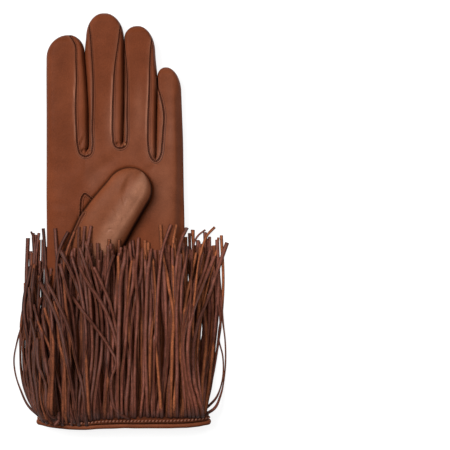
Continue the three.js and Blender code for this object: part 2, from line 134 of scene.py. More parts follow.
def hump(away: Array, width: float) -> Array:
    """Share that is 1 in the middle of a soft hump and fades with the distance from it."""
    return np.exp(-((away / width) ** 2))


@dataclass(frozen=True)
class Spot:
    """A soft round spot in plan, with its reach along each axis."""

    x: float
    y: float
    reach_x: float
    reach_y: float

    def at(self, x: Array, y: Array) -> Array:
        """Share that is 1 in the middle of the spot and fades outward."""
        return np.exp(-(((x - self.x) / self.reach_x) ** 2) - ((y - self.y) / self.reach_y) ** 2)


def smooth_path(points: Sequence[Sequence[float]], step: float) -> Array:
    """Run a smooth curve through points.

    Args:
        points: Points that the curve passes, in order.
        step: Distance between the points that are returned.

    Returns:
        Evenly spaced points along the curve, one a row.
    """
    given = np.array(points, dtype=float)
    gaps = np.maximum(np.linalg.norm(np.diff(given, axis=0), axis=1), TINY)
    slopes = np.diff(given, axis=0) / gaps[:, None]
    before, after = gaps[:-1, None], gaps[1:, None]
    inner = (slopes[:-1] * after + slopes[1:] * before) / (before + after)
    tangents = np.vstack([slopes[:1], inner, slopes[-1:]])
    fine = []
    for i, gap in enumerate(gaps):
        t = np.linspace(0.0, 1.0, CURVE_STEPS, endpoint=False)[:, None]
        fine.append(
            given[i] * (2 * t**3 - 3 * t**2 + 1)
            + tangents[i] * gap * (t**3 - 2 * t**2 + t)
            + given[i + 1] * (-2 * t**3 + 3 * t**2)
            + tangents[i + 1] * gap * (t**3 - t**2)
        )
    curve = np.vstack([*fine, given[-1:]])
    run = np.concatenate([[0.0], np.cumsum(np.linalg.norm(np.diff(curve, axis=0), axis=1))])
    even = np.linspace(0.0, run[-1], max(2, int(round(run[-1] / step)) + 1))
    return np.column_stack([np.interp(even, run, column) for column in curve.T])


@dataclass(frozen=True)
class Table:
    """Rows of named columns, read along the first column."""

    columns: tuple[str, ...]
    rows: tuple[tuple[float, ...], ...]

    SHIFTS = (-1.0, -0.5, 0.0, 0.5, 1.0)

    def read(self, column: str, at: Array | float, blur: float = 3.0) -> Array:
        """Read one column, with its corners rounded over a short length.

        Args:
            column: Name of the column.
            at: Places along the first column.
            blur: Half of the length over which corners are rounded.

        Returns:
            The column's values at those places.
        """
        data = np.array(self.rows)
        values = data[:, self.columns.index(column)]
        places = np.asarray(at, dtype=float)
        return sum(np.interp(places + s * blur, data[:, 0], values) for s in self.SHIFTS) / len(self.SHIFTS)


@dataclass(frozen=True)
class Ripple:
    """A soft random relief with bumps of one size, the same on every run."""

    size: float
    seed: int
    cells: int = 96

    SHIFT = (0.37, 0.61)

    def at(self, x: Array, y: Array) -> Array:
        """Read the relief.

        Args:
            x: Places across the glove.
            y: Places along it.

        Returns:
            Its height from -1 to 1 at each place.
        """
        lattice = np.random.default_rng(self.seed).uniform(-1.0, 1.0, (self.cells, self.cells))
        gx, gy = x / self.size + self.SHIFT[0], y / self.size + self.SHIFT[1]
        ix, iy = np.floor(gx).astype(int), np.floor(gy).astype(int)
        sx, sy = smoothstep(0.0, 1.0, gx - ix), smoothstep(0.0, 1.0, gy - iy)

        def node(dx: int, dy: int) -> Array:
            """Lattice value at a corner of the cell."""
            return lattice[(iy + dy) % self.cells, (ix + dx) % self.cells]

        low = mix(node(0, 0), node(1, 0), sx)
        high = mix(node(0, 1), node(1, 1), sx)
        return mix(low, high, sy)


# Tables of the lying glove

HAND = Table(
    ("y", "left", "right", "back", "palm"),
    (
        (-121.2, -48.4, 53.2, 3.4, 14.4),
        (-100.0, -47.2, 49.6, 2.4, 14.9),
        (-75.0, -45.6, 44.4, 1.7, 15.0),
        (-50.0, -44.4, 40.4, 1.6, 14.8),
        (-25.0, -43.9, 38.9, 1.6, 14.4),
        (0.0, -44.2, 38.9, 1.5, 14.0),
        (16.0, -44.4, 38.5, 0.6, 13.6),
        (30.0, -44.4, 38.3, 0.15, 13.2),
        (45.0, -44.4, 38.1, 0.0, 12.9),
        (62.0, -44.4, 37.6, 0.0, 12.6),
    ),
)

# Middle line of the groove between two fingers, from the cuff to where the fingers part
GROOVES = (
    Table(("y", "x"), ((-121.2, -24.5), (0, -21.2), (30, -20.6), (42.6, -20.2), (50, -18.9))),
    Table(("y", "x"), ((-121.2, 2.4), (0, -0.3), (42, 0.6), (46.8, 1.5), (52, 1.8))),
    Table(("y", "x"), ((-121.2, 28.0), (0, 20.2), (36, 21.6), (39.4, 21.7), (50, 21.8))),
)


@dataclass(frozen=True)
class Crotch:
    """Where the gusset seam turns on the palm and on the back, and where it ends at the top of the back.

    The pocket is where the leather ends between the fingers, and the lip is how far it is drawn up there.
    """

    palm_turn: float
    back_turn: float
    pocket: float
    lip: float
    back_top: float


CROTCHES = (
    Crotch(38.5, 27.0, 41.4, 1.6, 104.0),
    Crotch(43.5, 29.0, 45.9, 1.2, 108.0),
    Crotch(35.7, 20.0, 38.4, 0.0, 84.0),
)

# Where the folded end of a gusset is drawn down on either side of its lip
CROTCH_DENTS = ((-22.1, 41.9), (-18.3, 41.4), (-1.2, 46.1), (3.2, 46.1))


@dataclass(frozen=True)
class Finger:
    """One finger's tip, the rounding on either side of it, its thickness and its edges."""

    tip_x: float
    tip_y: float
    round_left: float
    round_right: float
    thick: float
    edges: Table


def finger_edges(*rows: tuple[float, float, float]) -> Table:
    """Edge table of one finger."""
    return Table(("y", "left", "right"), rows)


# Index, middle, ring and little finger
FINGERS = (
    Finger(
        -30.9, 112.2, 13.8, 10.5, 12.2,
        finger_edges((40, -44.4, -18.8), (50, -44.4, -18.8), (68, -44.4, -18.95), (87, -44.5, -20.1),
                     (101, -44.4, -21.4)),
    ),
    Finger(
        -9.6, 125.4, 14.0, 15.0, 12.8,
        finger_edges((40, -19.0, 1.9), (50, -19.0, 1.9), (68, -19.15, 2.45), (87, -20.3, 2.65),
                     (101, -21.5, 2.5), (112, -20.4, 2.3)),
    ),
    Finger(
        10.5, 117.7, 8.0, 16.0, 12.4,
        finger_edges((40, 1.6, 22.0), (50, 1.7, 21.9), (68, 2.2, 22.25), (87, 2.4, 22.6), (101, 2.4, 21.2)),
    ),
    Finger(
        27.6, 92.8, 6.0, 14.0, 11.8,
        finger_edges((40, 21.6, 38.2), (50, 21.7, 38.0), (68, 22.05, 37.3), (79, 22.4, 36.9),
                     (88, 22.4, 36.5)),
    ),
)

# Seams of the finger gussets on the palm side, from one tip round the crotch to the next
PALM_SEAMS = (
    ((-30.6, 112.4), (-26.7, 106.0), (-26.0, 95.9), (-25.7, 86.7), (-26.2, 68.4), (-25.7, 54.6),
     (-24.8, 44.4), (-23.5, 40.3), (-20.3, 38.5), (-17.1, 40.3), (-16.1, 44.4), (-16.3, 54.6),
     (-15.8, 68.4), (-15.8, 86.7), (-16.6, 100.4), (-17.5, 111.5), (-18.3, 117.5)),
    ((0.7, 118.0), (-0.5, 107.8), (-1.9, 98.6), (-3.0, 88.5), (-3.5, 77.5), (-3.9, 63.7), (-3.7, 49.9),
     (-3.0, 45.8), (-1.4, 44.0), (0.4, 43.5), (2.7, 44.2), (4.1, 46.3), (4.7, 50.9), (4.5, 63.7),
     (4.7, 77.5), (4.5, 88.5), (3.6, 98.6), (2.9, 105.1), (2.6, 111.0)),
    ((19.8, 111.5), (18.8, 103.2), (18.3, 94.0), (18.1, 82.1), (17.6, 68.3), (17.2, 54.5), (17.4, 45.4),
     (18.3, 39.8), (20.2, 36.6), (21.7, 35.7), (23.4, 36.6), (25.0, 39.8), (25.7, 45.4), (26.4, 54.5),
     (26.8, 63.7), (25.7, 71.0), (24.3, 75.7), (22.9, 80.2), (22.6, 86.0)),
)

# The seam on the back, up one side of its groove from the crotch: its rise and its share of the reach
BACK_TURN = ((0.0, 0.0), (1.2, 0.72), (5.0, 1.0))
BACK_REACH = 3.2
BACK_TOP_SHARE = 0.8

QUIRK_SEAM = ((-23.4, -2.0), (-23.1, 4.4), (-22.9, 11.0), (-22.2, 14.4), (-20.6, 16.2), (-18.6, 15.0),
              (-15.6, 12.4), (-12.0, 8.0))
SIDE_SEAM = ((49.5, -118.0), (41.0, -75.0), (37.6, -50.0), (36.2, 0.0), (35.6, 40.0), (34.6, 68.0),
             (33.0, 82.0), (29.5, 90.0))

# The thumb in its own plan frame, along its length from base to tip
THUMB_TURN = math.radians(56.0)
THUMB = Table(
    ("along", "left", "right", "low", "high"),
    (
        (-33.0, -17.0, 8.0, 5.4, 12.4),
        (-22.0, -19.5, 10.4, 8.6, 19.2),
        (-10.0, -21.3, 10.6, 12.6, 23.0),
        (2.0, -20.8, 9.3, 14.5, 24.0),
        (18.0, -18.9, 8.2, 14.4, 23.6),
    ),
)


@dataclass(frozen=True)
class ThumbTip:
    """Tip of the thumb in its own plan frame, with the rounding on either side."""

    along: float = 32.0
    across: float = -5.4
    round_left: float = 14.0
    round_right: float = 13.0
    round_high: float = 9.0


# Meshes


@dataclass
class Skin:
    """A surface under construction: points, faces and one value a point for each named attribute."""

    points: Array
    faces: list[tuple[int, ...]]
    values: dict[str, Array]

    WELD = 0.002

    @staticmethod
    def from_grid(grid: Array, values: dict[str, Array], flip: bool = False, loop: bool = False) -> "Skin":
        """Cover a grid of points with four-sided faces.

        Args:
            grid: Points as rows by columns by three.
            values: One array of rows by columns for each attribute.
            flip: Whether the faces turn the other way.
            loop: Whether the last column joins the first.

        Returns:
            The covered grid.
        """
        shape = grid.shape[:2]
        index = np.arange(shape[0] * shape[1]).reshape(shape)
        if loop:
            index = np.hstack([index, index[:, :1]])
        corners = [index[:-1, :-1], index[:-1, 1:], index[1:, 1:], index[1:, :-1]]
        if flip:
            corners.reverse()
        faces = np.stack([c.ravel() for c in corners], axis=1)
        flat = {name: np.broadcast_to(v, shape).ravel().astype(float) for name, v in values.items()}
        return Skin(grid.reshape(-1, 3).astype(float), [tuple(f) for f in faces.tolist()], flat)

    @staticmethod
    def joined(skins: Sequence["Skin"]) -> "Skin":
        """Put skins side by side.

        Args:
            skins: The skins.

        Returns:
            All of them as one, their points not yet shared.
        """
        start = 0
        faces: list[tuple[int, ...]] = []
        for skin in skins:
            faces.extend(tuple(i + start for i in face) for face in skin.faces)
            start += len(skin.points)
        names = skins[0].values.keys()
        values = {name: np.concatenate([skin.values[name] for skin in skins]) for name in names}
        return Skin(np.vstack([skin.points for skin in skins]), faces, values)

    def welded(self) -> "Skin":
        """Share the points that coincide.

        Returns:
            The skin without the faces that fall to a line.
        """
        keys = np.round(self.points / self.WELD).astype(np.int64)
        _, first, back = np.unique(keys, axis=0, return_index=True, return_inverse=True)
        back = back.ravel()
        faces = []
        for face in self.faces:
            kept = list(dict.fromkeys(int(back[i]) for i in face))
            if len(kept) > 2:
                faces.append(tuple(kept))
        values = {name: v[first] for name, v in self.values.items()}
        return Skin(self.points[first], faces, values)

    def normals(self) -> Array:
        """Even out the faces' directions.

        Returns:
            The smooth normal of each point.
        """
        total = np.zeros_like(self.points)
        for count in (3, 4):
            chosen = np.array([f for f in self.faces if len(f) == count], dtype=int)
            if not len(chosen):
                continue
            corners = self.points[chosen]
            area = np.cross(corners[:, 2] - corners[:, 0], corners[:, count - 1] - corners[:, 1])
            for k in range(count):
                np.add.at(total, chosen[:, k], area)
        return unit(total)

    def centres(self) -> Array:
        """Middle of each face."""
        return np.array([self.points[list(face)].mean(axis=0) for face in self.faces])

    def part(self, keep: Array) -> tuple["Skin", Array]:
        """Pick some of the faces.

        Args:
            keep: Whether each face is picked.

        Returns:
            Their skin, and the old numbers of its points.
        """
        faces = [face for face, wanted in zip(self.faces, keep) if wanted]
        used = np.unique(np.array([i for face in faces for i in face]))
        renumber = np.full(len(self.points), -1)
        renumber[used] = np.arange(len(used))
        moved = [tuple(int(renumber[i]) for i in face) for face in faces]
        return Skin(self.points[used], moved, {n: v[used] for n, v in self.values.items()}), used

    def tree(self) -> BVHTree:
        """Search tree of the faces, in millimetres."""
        return BVHTree.FromPolygons(self.points.tolist(), self.faces)


def put(name: str, data: bpy.types.ID) -> bpy.types.Object:
    """Link a new object to the scene, with its mesh, lamp or camera."""
    made = bpy.data.objects.new(name, data)
    bpy.context.scene.collection.objects.link(made)
    return made


def add_piece(
    name: str,
    skin: Skin,
    materials: Sequence[Material],
    normals: Array | None = None,
    face_values: dict[str, Array] | None = None,
    face_material: Array | None = None,
) -> bpy.types.Object:
    """Turn a skin into a smooth-shaded object.

    Args:
        name: Name of the object.
        skin: Its points in millimetres, faces and point attributes.
        materials: Materials of its slots.
        normals: Normals to shade with, one a point, in place of the faces' own.
        face_values: Attributes with one value a face.
        face_material: Slot number of each face.

    Returns:
        The object, linked to the scene.
    """
    mesh = bpy.data.meshes.new(name)
    mesh.from_pydata((skin.points * MM).tolist(), [], skin.faces)
    for label, values in skin.values.items():
        mesh.attributes.new(label, "FLOAT", "POINT").data.foreach_set("value", values.astype(np.float32))
    for label, values in (face_values or {}).items():
        mesh.attributes.new(label, "FLOAT", "FACE").data.foreach_set("value", values.astype(np.float32))
    for material in materials:
        mesh.materials.append(material)
    if face_material is not None:
        mesh.polygons.foreach_set("material_index", face_material.astype(np.int32))
    mesh.shade_smooth()
    if normals is not None:
        mesh.normals_split_custom_set_from_vertices(normals.tolist())
    mesh.update()
    return put(name, mesh)


def seat(piece: bpy.types.Object, slot: Slot, *nodes: str) -> None:
    """Fix a piece to the glove's body.

    Args:
        piece: The piece.
        slot: Its material slot; not used.
        *nodes: Parts of the glove that it stands for.
    """
    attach(piece, BODY)
    if nodes:
        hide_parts(*nodes)
    LOG.info("%s: %d faces", piece.name, len(piece.data.polygons))


# Seams


class Seam:
    """A sewn line in plan, which marks and dents the leather beside it."""

    STEP = 0.8

    def __init__(self, points: Sequence[Sequence[float]]) -> None:
        """Run the seam smoothly through its points."""
        self.path = smooth_path(points, self.STEP)

    def distance(self, x: Array, y: Array) -> Array:
        """Measure in plan how far the seam is.

        Args:
            x: Places across the glove.
            y: Places along it.

        Returns:
            The distance of each place, below zero on the left of the seam's run.
        """
        best, side = np.full(x.shape, FAR), np.ones(x.shape)
        for start, end in zip(self.path[:-1], self.path[1:]):
            leg = end - start
            share = ((x - start[0]) * leg[0] + (y - start[1]) * leg[1]) / max(leg @ leg, TINY)
            share = np.clip(share, 0.0, 1.0)
            away = (x - start[0] - share * leg[0]) ** 2 + (y - start[1] - share * leg[1]) ** 2
            turned = np.where(leg[0] * (y - start[1]) > leg[1] * (x - start[0]), -1.0, 1.0)
            side = np.where(away < best, turned, side)
            best = np.minimum(best, away)
        return side * np.sqrt(best)

    def encloses(self, x: Array, y: Array) -> Array:
        """Close the seam across its open end.

        Args:
            x: Places across the glove.
            y: Places along it.

        Returns:
            Whether each place lies inside it.
        """
        inside = np.zeros(x.shape, dtype=bool)
        for start, end in zip(self.path, np.roll(self.path, -1, axis=0)):
            spans = (start[1] > y) != (end[1] > y)
            rise = end[1] - start[1] or TINY
            crossing = start[0] + (y - start[1]) * (end[0] - start[0]) / rise
            inside ^= spans & (x < crossing)
        return inside


def nearest(distances: Sequence[Array]) -> Array:
    """Of several signed distances at each place, the one closest to zero."""
    each = np.stack(distances)
    return np.take_along_axis(each, np.abs(each).argmin(axis=0)[None], axis=0)[0]


def back_seam(index: int) -> Seam:
    """Run the gusset seam on the back of the glove, on both sides of one groove.

    Args:
        index: Number of the groove, from the index side.

    Returns:
        The seam.
    """
    crotch = CROTCHES[index]
    shares = [(crotch.back_turn + rise, share) for rise, share in BACK_TURN]
    shares += [((crotch.back_turn + crotch.back_top) / 2, 1.0), (crotch.back_top, BACK_TOP_SHARE)]
    left, right = (
        [(float(GROOVES[index].read("x", y)) + side * BACK_REACH * share, y) for y, share in shares]
        for side in (-1, 1)
    )
    return Seam([*reversed(left), *right[1:]])


# The hand and fingers


@dataclass(frozen=True)
class PaintedSheen:
    """Painted sheen on the palm: broad lighter areas, small painted highlights, and a side with less sheen
    and some painted shade.
    """

    heel: Spot = Spot(27.0, 18.0, 9.0, 26.0)
    web: Spot = Spot(-12.0, 28.0, 9.0, 12.0)
    web_lean: float = 0.5
    web_middle: float = 30.0
    web_share: float = 0.45
    knuckles: Spot = Spot(10.0, 50.0, 18.0, 26.0)
    knuckles_share: float = 0.5
    little: Spot = Spot(30.0, 68.0, 5.5, 24.0)
    little_share: float = 0.6
    palm: float = 0.62
    fingers: float = 0.55
    spots: tuple[Spot, ...] = (
        Spot(-18.4, 49.0, 4.5, 7.0), Spot(-6.0, 58.0, 3.0, 13.0), Spot(12.0, 68.0, 3.0, 14.0),
        Spot(30.5, 53.0, 3.0, 13.0), Spot(-16.0, 22.0, 4.0, 6.0), Spot(22.0, 42.0, 6.0, 4.0),
    )
    spots_share: float = 0.34
    # Painted shade on the index side towards the fingers, which also takes the painted sheen away
    painted_shade: float = 0.1
    painted_shade_x: Span = (-24.0, -34.0)
    painted_shade_y: Span = (20.0, 50.0)

    def at(self, x: Array, y: Array) -> Array:
        """How much painted sheen the leather gets.

        Args:
            x: Places across the hand.
            y: Places along it.

        Returns:
            The painted sheen at each place, most beside the thumb and under the little finger.
        """
        web = self.web_share * self.web.at(x + self.web_lean * (y - self.web_middle), y)
        palm = self.palm * np.maximum(self.heel.at(x, y), web)
        knuckles = self.knuckles_share * self.knuckles.at(x, y)
        fingers = self.fingers * np.maximum(knuckles, self.little_share * self.little.at(x, y))
        spots = self.spots_share * sum(spot.at(x, y) for spot in self.spots)
        return palm + fingers + spots - self.painted_shade * smoothstep(*self.painted_shade_x, x) * smoothstep(*self.painted_shade_y, y)


@dataclass(frozen=True)
class Relief:
    """How deep the leather is drawn in at a seam, and how it rolls and ripples beside it, with a painted
    highlight on the seam's lips.
    """

    valley: float = 0.3
    valley_width: float = 0.75
    roll: float = 0.16
    roll_at: float = 1.5
    roll_width: float = 0.95
    gusset_roll: float = 0.7
    gusset_rise: float = 0.2
    gusset_lean: float = 1.3
    gusset_least: float = 0.05
    dent: float = 2.2
    dent_width: float = 0.85
    swell: Ripple = Ripple(23.0, 3)
    swell_depth: float = 0.22
    pucker: Ripple = Ripple(6.0, 5)
    pucker_depth: float = 0.07
    # The palm is dented and painted with shade round the thumb's outline
    press: float = 0.7
    press_width: float = 0.95
    # Painted highlight on the lips beside the gusset seams; lip_shift picks the lip on each seam's left, the
    # side the light comes from
    lip_at: float = 1.1
    lip_shift: float = 0.275
    lip_width: float = 0.5
    lip_highlight: float = 1.9
    lip_least: float = 0.25
    lip_inside: float = 0.45
    lip_start: Span = (44.0, 60.0)
    lip_end: Span = (76.0, 96.0)

    def at(self, x: Array, y: Array, seam: Array) -> Array:
        """Height that the relief adds.

        Args:
            x: Places across the hand.
            y: Places along it.
            seam: Distance of each place from the nearest seam, below zero in a gusset.

        Returns:
            The height to add at each place.
        """
        away = np.abs(seam)
        near = -self.valley * hump(away, self.valley_width)
        outer = self.roll * hump(away - self.roll_at, self.roll_width) * (seam > 0)
        swells = self.swell_depth * self.swell.at(x, y) + self.pucker_depth * self.pucker.at(x, y)
        return near + outer + swells

    def gusset(self, seam: Array, gap: Array, side: Array) -> Array:
        """Height of a gusset's soft roll.

        Args:
            seam: Distance of each place from the nearest seam, below zero in a gusset.
            gap: Distance of each place from the edge of its finger.
            side: Above zero on the finger's little finger side.

        Returns:
            The height to add at each place, nothing outside the gussets.
        """
        share = np.abs(seam) / (np.abs(seam) + np.maximum(gap, self.gusset_least))
        high = np.where(side > 0, self.gusset_roll, self.gusset_rise)
        return np.where(seam < 0, high * np.sin(math.pi * share**self.gusset_lean), 0.0)

    def pressed_and_shaded(self, away: Array) -> Array:
        """Share by which the palm is dented and painted with shade at a distance from the thumb's outline.
        """
        return hump(away, self.press_width)

    def painted_light(self, seam: Array, y: Array) -> Array:
        """Painted highlight on the lip beside a gusset seam.

        Args:
            seam: Distance of each place from the nearest seam, below zero in a gusset.
            y: Places along the hand.

        Returns:
            The painted highlight, most halfway up the fingers and least in the gusset.
        """
        near = hump(np.abs(seam) - self.lip_at, self.lip_width)
        along = smoothstep(*self.lip_start, y) * (1.0 - smoothstep(*self.lip_end, y))
        share = mix(self.lip_least, 1.0, along) * np.where(seam < 0, self.lip_inside, 1.0)
        return self.lip_highlight * near * share

    def dents(self, x: Array, y: Array) -> Array:
        """Height taken away beside the lips of the crotches."""
        width = self.dent_width
        return -self.dent * sum(Spot(dx, dy, width, width).at(x, y) for dx, dy in CROTCH_DENTS)


@dataclass(frozen=True)
class SideFold:
    """The fold beside the little finger: where it runs, its crest and the slope beyond it."""

    middle: float = 33.8
    sway: float = 0.5
    sway_length: float = 17.0
    start: Span = (-34.0, -8.0)
    end: Span = (72.0, 86.0)
    crest: float = 0.12
    crest_in: float = 2.2
    crest_width: float = 1.8
    slope: Span = (-1.0, 3.6)
    drop: float = 0.5

    def at(self, x: Array, y: Array) -> tuple[Array, Array]:
        """Shape of the fold.

        Args:
            x: Places across the hand.
            y: Places along it.

        Returns:
            The crest that it adds, and the share of the height that it leaves.
        """
        bend = self.middle + self.sway * np.sin(y / self.sway_length)
        along = smoothstep(*self.start, y) * (1.0 - smoothstep(*self.end, y))
        crest = self.crest * hump(x - bend + self.crest_in, self.crest_width)
        return along * crest, 1.0 - along * self.drop * smoothstep(*self.slope, x - bend)


@dataclass(frozen=True)
class HandForm:
    """Edges and heights of the lying hand and its four fingers."""

    cuff_y: float = -121.2
    split_y: float = 50.0
    hand_mid: float = 0.42
    finger_mid: float = 5.0
    knuckle_high: float = 12.9
    knuckle_slope: Span = (30.0, 62.0)
    rest_press: float = 1.06
    left_top: float = 3.4
    right_top: float = 4.6
    hand_rest: float = 6.0
    finger_top: float = 6.0
    gusset_top: float = 13.0
    beside_top: float = 8.0
    finger_rest: float = 4.2
    tip_high: float = 6.0
    tip_rows: int = 16
    least_rows: int = 3
    shoulder: float = 26.0
    index_split: Span = (18.0, 62.0)
    little_split: Span = (12.0, 52.0)
    back_early: float = 2.0
    palm_late: float = 1.0
    lip_share: float = 0.4
    outer_turn: Span = (30.0, 50.0)
    pocket_turn: float = 4.0
    side_blend: Span = (0.1, 0.9)
    edge_fade: Span = (0.88, 1.0)
    fold: SideFold = SideFold()

    def hand_heights(self, x: Array, y: Array, inset: float = 0.0) -> tuple[Array, Array]:
        """Heights of the palm and of the back over a plan of places.

        Args:
            x: Places across the hand.
            y: Places along it.
            inset: Distance inside the leather's outer face.

        Returns:
            The upper and the lower height.
        """
        left = HAND.read("left", y) + inset
        right = HAND.read("right", y) - inset
        low = HAND.read("back", y) + inset
        high = HAND.read("palm", y) - inset
        middle = low + self.hand_mid * (high - low)
        across = np.clip((2 * x - left - right) / (right - left), -1.0, 1.0)
        top = middle + (high - middle) * crown(across, np.where(across < 0, self.left_top, self.right_top))
        drop = self.rest_press * (middle - low) * crown(across, self.hand_rest)
        return top, np.maximum(low, middle - drop)

    def split(self, groove: int, y: Array, away: Array, back: bool) -> Array:
        """Share by which a place has turned from hand to finger.

        Args:
            groove: Number of the groove beside the place, or of an outer side of the hand.
            y: Places along the hand.
            away: How far each place lies from the groove, as a share of the finger's width.
            back: Whether the place is on the back of the glove.

        Returns:
            The share, from 0 on the hand to 1 on the finger.
        """
        if groove < 0:
            return smoothstep(*self.index_split, y)
        if groove >= len(GROOVES):
            return smoothstep(*self.little_split, y)
        crotch = CROTCHES[groove]
        wider = self.shoulder * away
        end = crotch.pocket + self.palm_late + self.lip_share * crotch.lip + wider
        if back:
            return smoothstep(crotch.back_turn - self.back_early, end, y)
        return smoothstep(crotch.palm_turn + self.palm_late + crotch.lip - wider, end, y)

    def edge(self, finger: int, side: int, y: Array, inset: float) -> Array:
        """Plan line of a finger's edge, from the cuff to near its tip.

        Args:
            finger: Number of the finger, from the index.
            side: -1 for its left edge, 1 for its right one.
            y: Places along the hand.
            inset: Distance inside the leather's outer face.

        Returns:
            The edge's x at each place.
        """
        name = "left" if side < 0 else "right"
        groove = finger - 1 if side < 0 else finger
        own = FINGERS[finger].edges.read(name, y) - side * inset
        if not 0 <= groove < len(GROOVES):
            return mix(HAND.read(name, y) - side * inset, own, smoothstep(*self.outer_turn, y))
        pocket = CROTCHES[groove].pocket
        return mix(GROOVES[groove].read("x", y), own, smoothstep(pocket, pocket + self.pocket_turn, y))

    def rows(self, finger: int, step: float, inset: float) -> Array:
        """Places along a finger's strip, closer together towards its tip.

        Args:
            finger: Number of the finger, from the index.
            step: Distance between rows.
            inset: Distance inside the leather's outer face.

        Returns:
            The places, from the cuff to the tip.
        """
        shape = FINGERS[finger]
        turn = max(shape.round_left, shape.round_right)
        straight = shape.tip_y - inset - turn
        hand = np.linspace(self.cuff_y, self.split_y, int((self.split_y - self.cuff_y) / step))
        count = max(self.least_rows, int((straight - self.split_y) / step))
        stalk = np.linspace(self.split_y, straight, count)[1:]
        angles = np.linspace(0.0, math.pi / 2, self.tip_rows)[1:]
        return np.concatenate([hand, stalk, straight + turn * np.sin(angles)])

    def strip(self, finger: int, columns: int, step: float, inset: float = 0.0) -> dict[str, Array]:
        """Lay out one finger with the band of the hand below it.

        Args:
            finger: Number of the finger, from the index.
            columns: Columns of faces across it.
            step: Distance between its rows.
            inset: Distance inside the leather's outer face.

        Returns:
            Grids of x, y, upper and lower height, and the share by which the edge relief fades.
        """
        shape = FINGERS[finger]
        tip = shape.tip_y - inset
        y = self.rows(finger, step, inset)[:, None]
        across = -np.cos(math.pi * np.linspace(0.0, 1.0, columns + 1))[None, :]
        left = self.edge(finger, -1, y, inset)
        right = self.edge(finger, 1, y, inset)
        left = shape.tip_x + (left - shape.tip_x) * tip_share(tip - y, shape.round_left)
        right = shape.tip_x + (right - shape.tip_x) * tip_share(tip - y, shape.round_right)
        x = (left + right) / 2 + across * (right - left) / 2
        y = np.broadcast_to(y, x.shape)
        rounding = tip_share(tip - y, self.tip_high)
        high = mix(self.knuckle_high, shape.thick, smoothstep(*self.knuckle_slope, y))
        reach = high - inset - self.finger_mid
        depth = (self.finger_mid - HAND.read("back", y) - inset) * rounding
        power = np.where(across < 0, self.beside_top, self.gusset_top)
        outer = (finger == 0) * (across < 0) + (finger == len(FINGERS) - 1) * (across > 0)
        power = np.where(outer, self.finger_top, power)
        finger_top = self.finger_mid + reach * rounding * crown(across, power)
        lowered = np.minimum(depth, self.rest_press * depth * crown(across, self.finger_rest))
        hand_top, hand_low = self.hand_heights(x, y, inset)
        place = (across + 1.0) / 2
        sides = [[self.split(g, y, w, b) for g, w in ((finger - 1, place), (finger, 1 - place))]
                 for b in (False, True)]
        palm_split, back_split = (mix(*pair, smoothstep(*self.side_blend, place)) for pair in sides)
        beside = np.where(across < 0, *sides[1])
        crest, share = self.fold.at(x, y)
        top = mix(hand_top, finger_top, palm_split)
        return {
            "x": x,
            "y": y,
            "top": self.finger_mid + (top - self.finger_mid) * share + crest * rounding,
            "low": mix(hand_low, self.finger_mid - lowered, back_split),
            "fade": 1.0 - smoothstep(*self.edge_fade, np.abs(across)) * np.maximum(beside, outer),
            "gap": np.minimum(x - left, right - x),
            "side": np.broadcast_to(across, x.shape),
        }


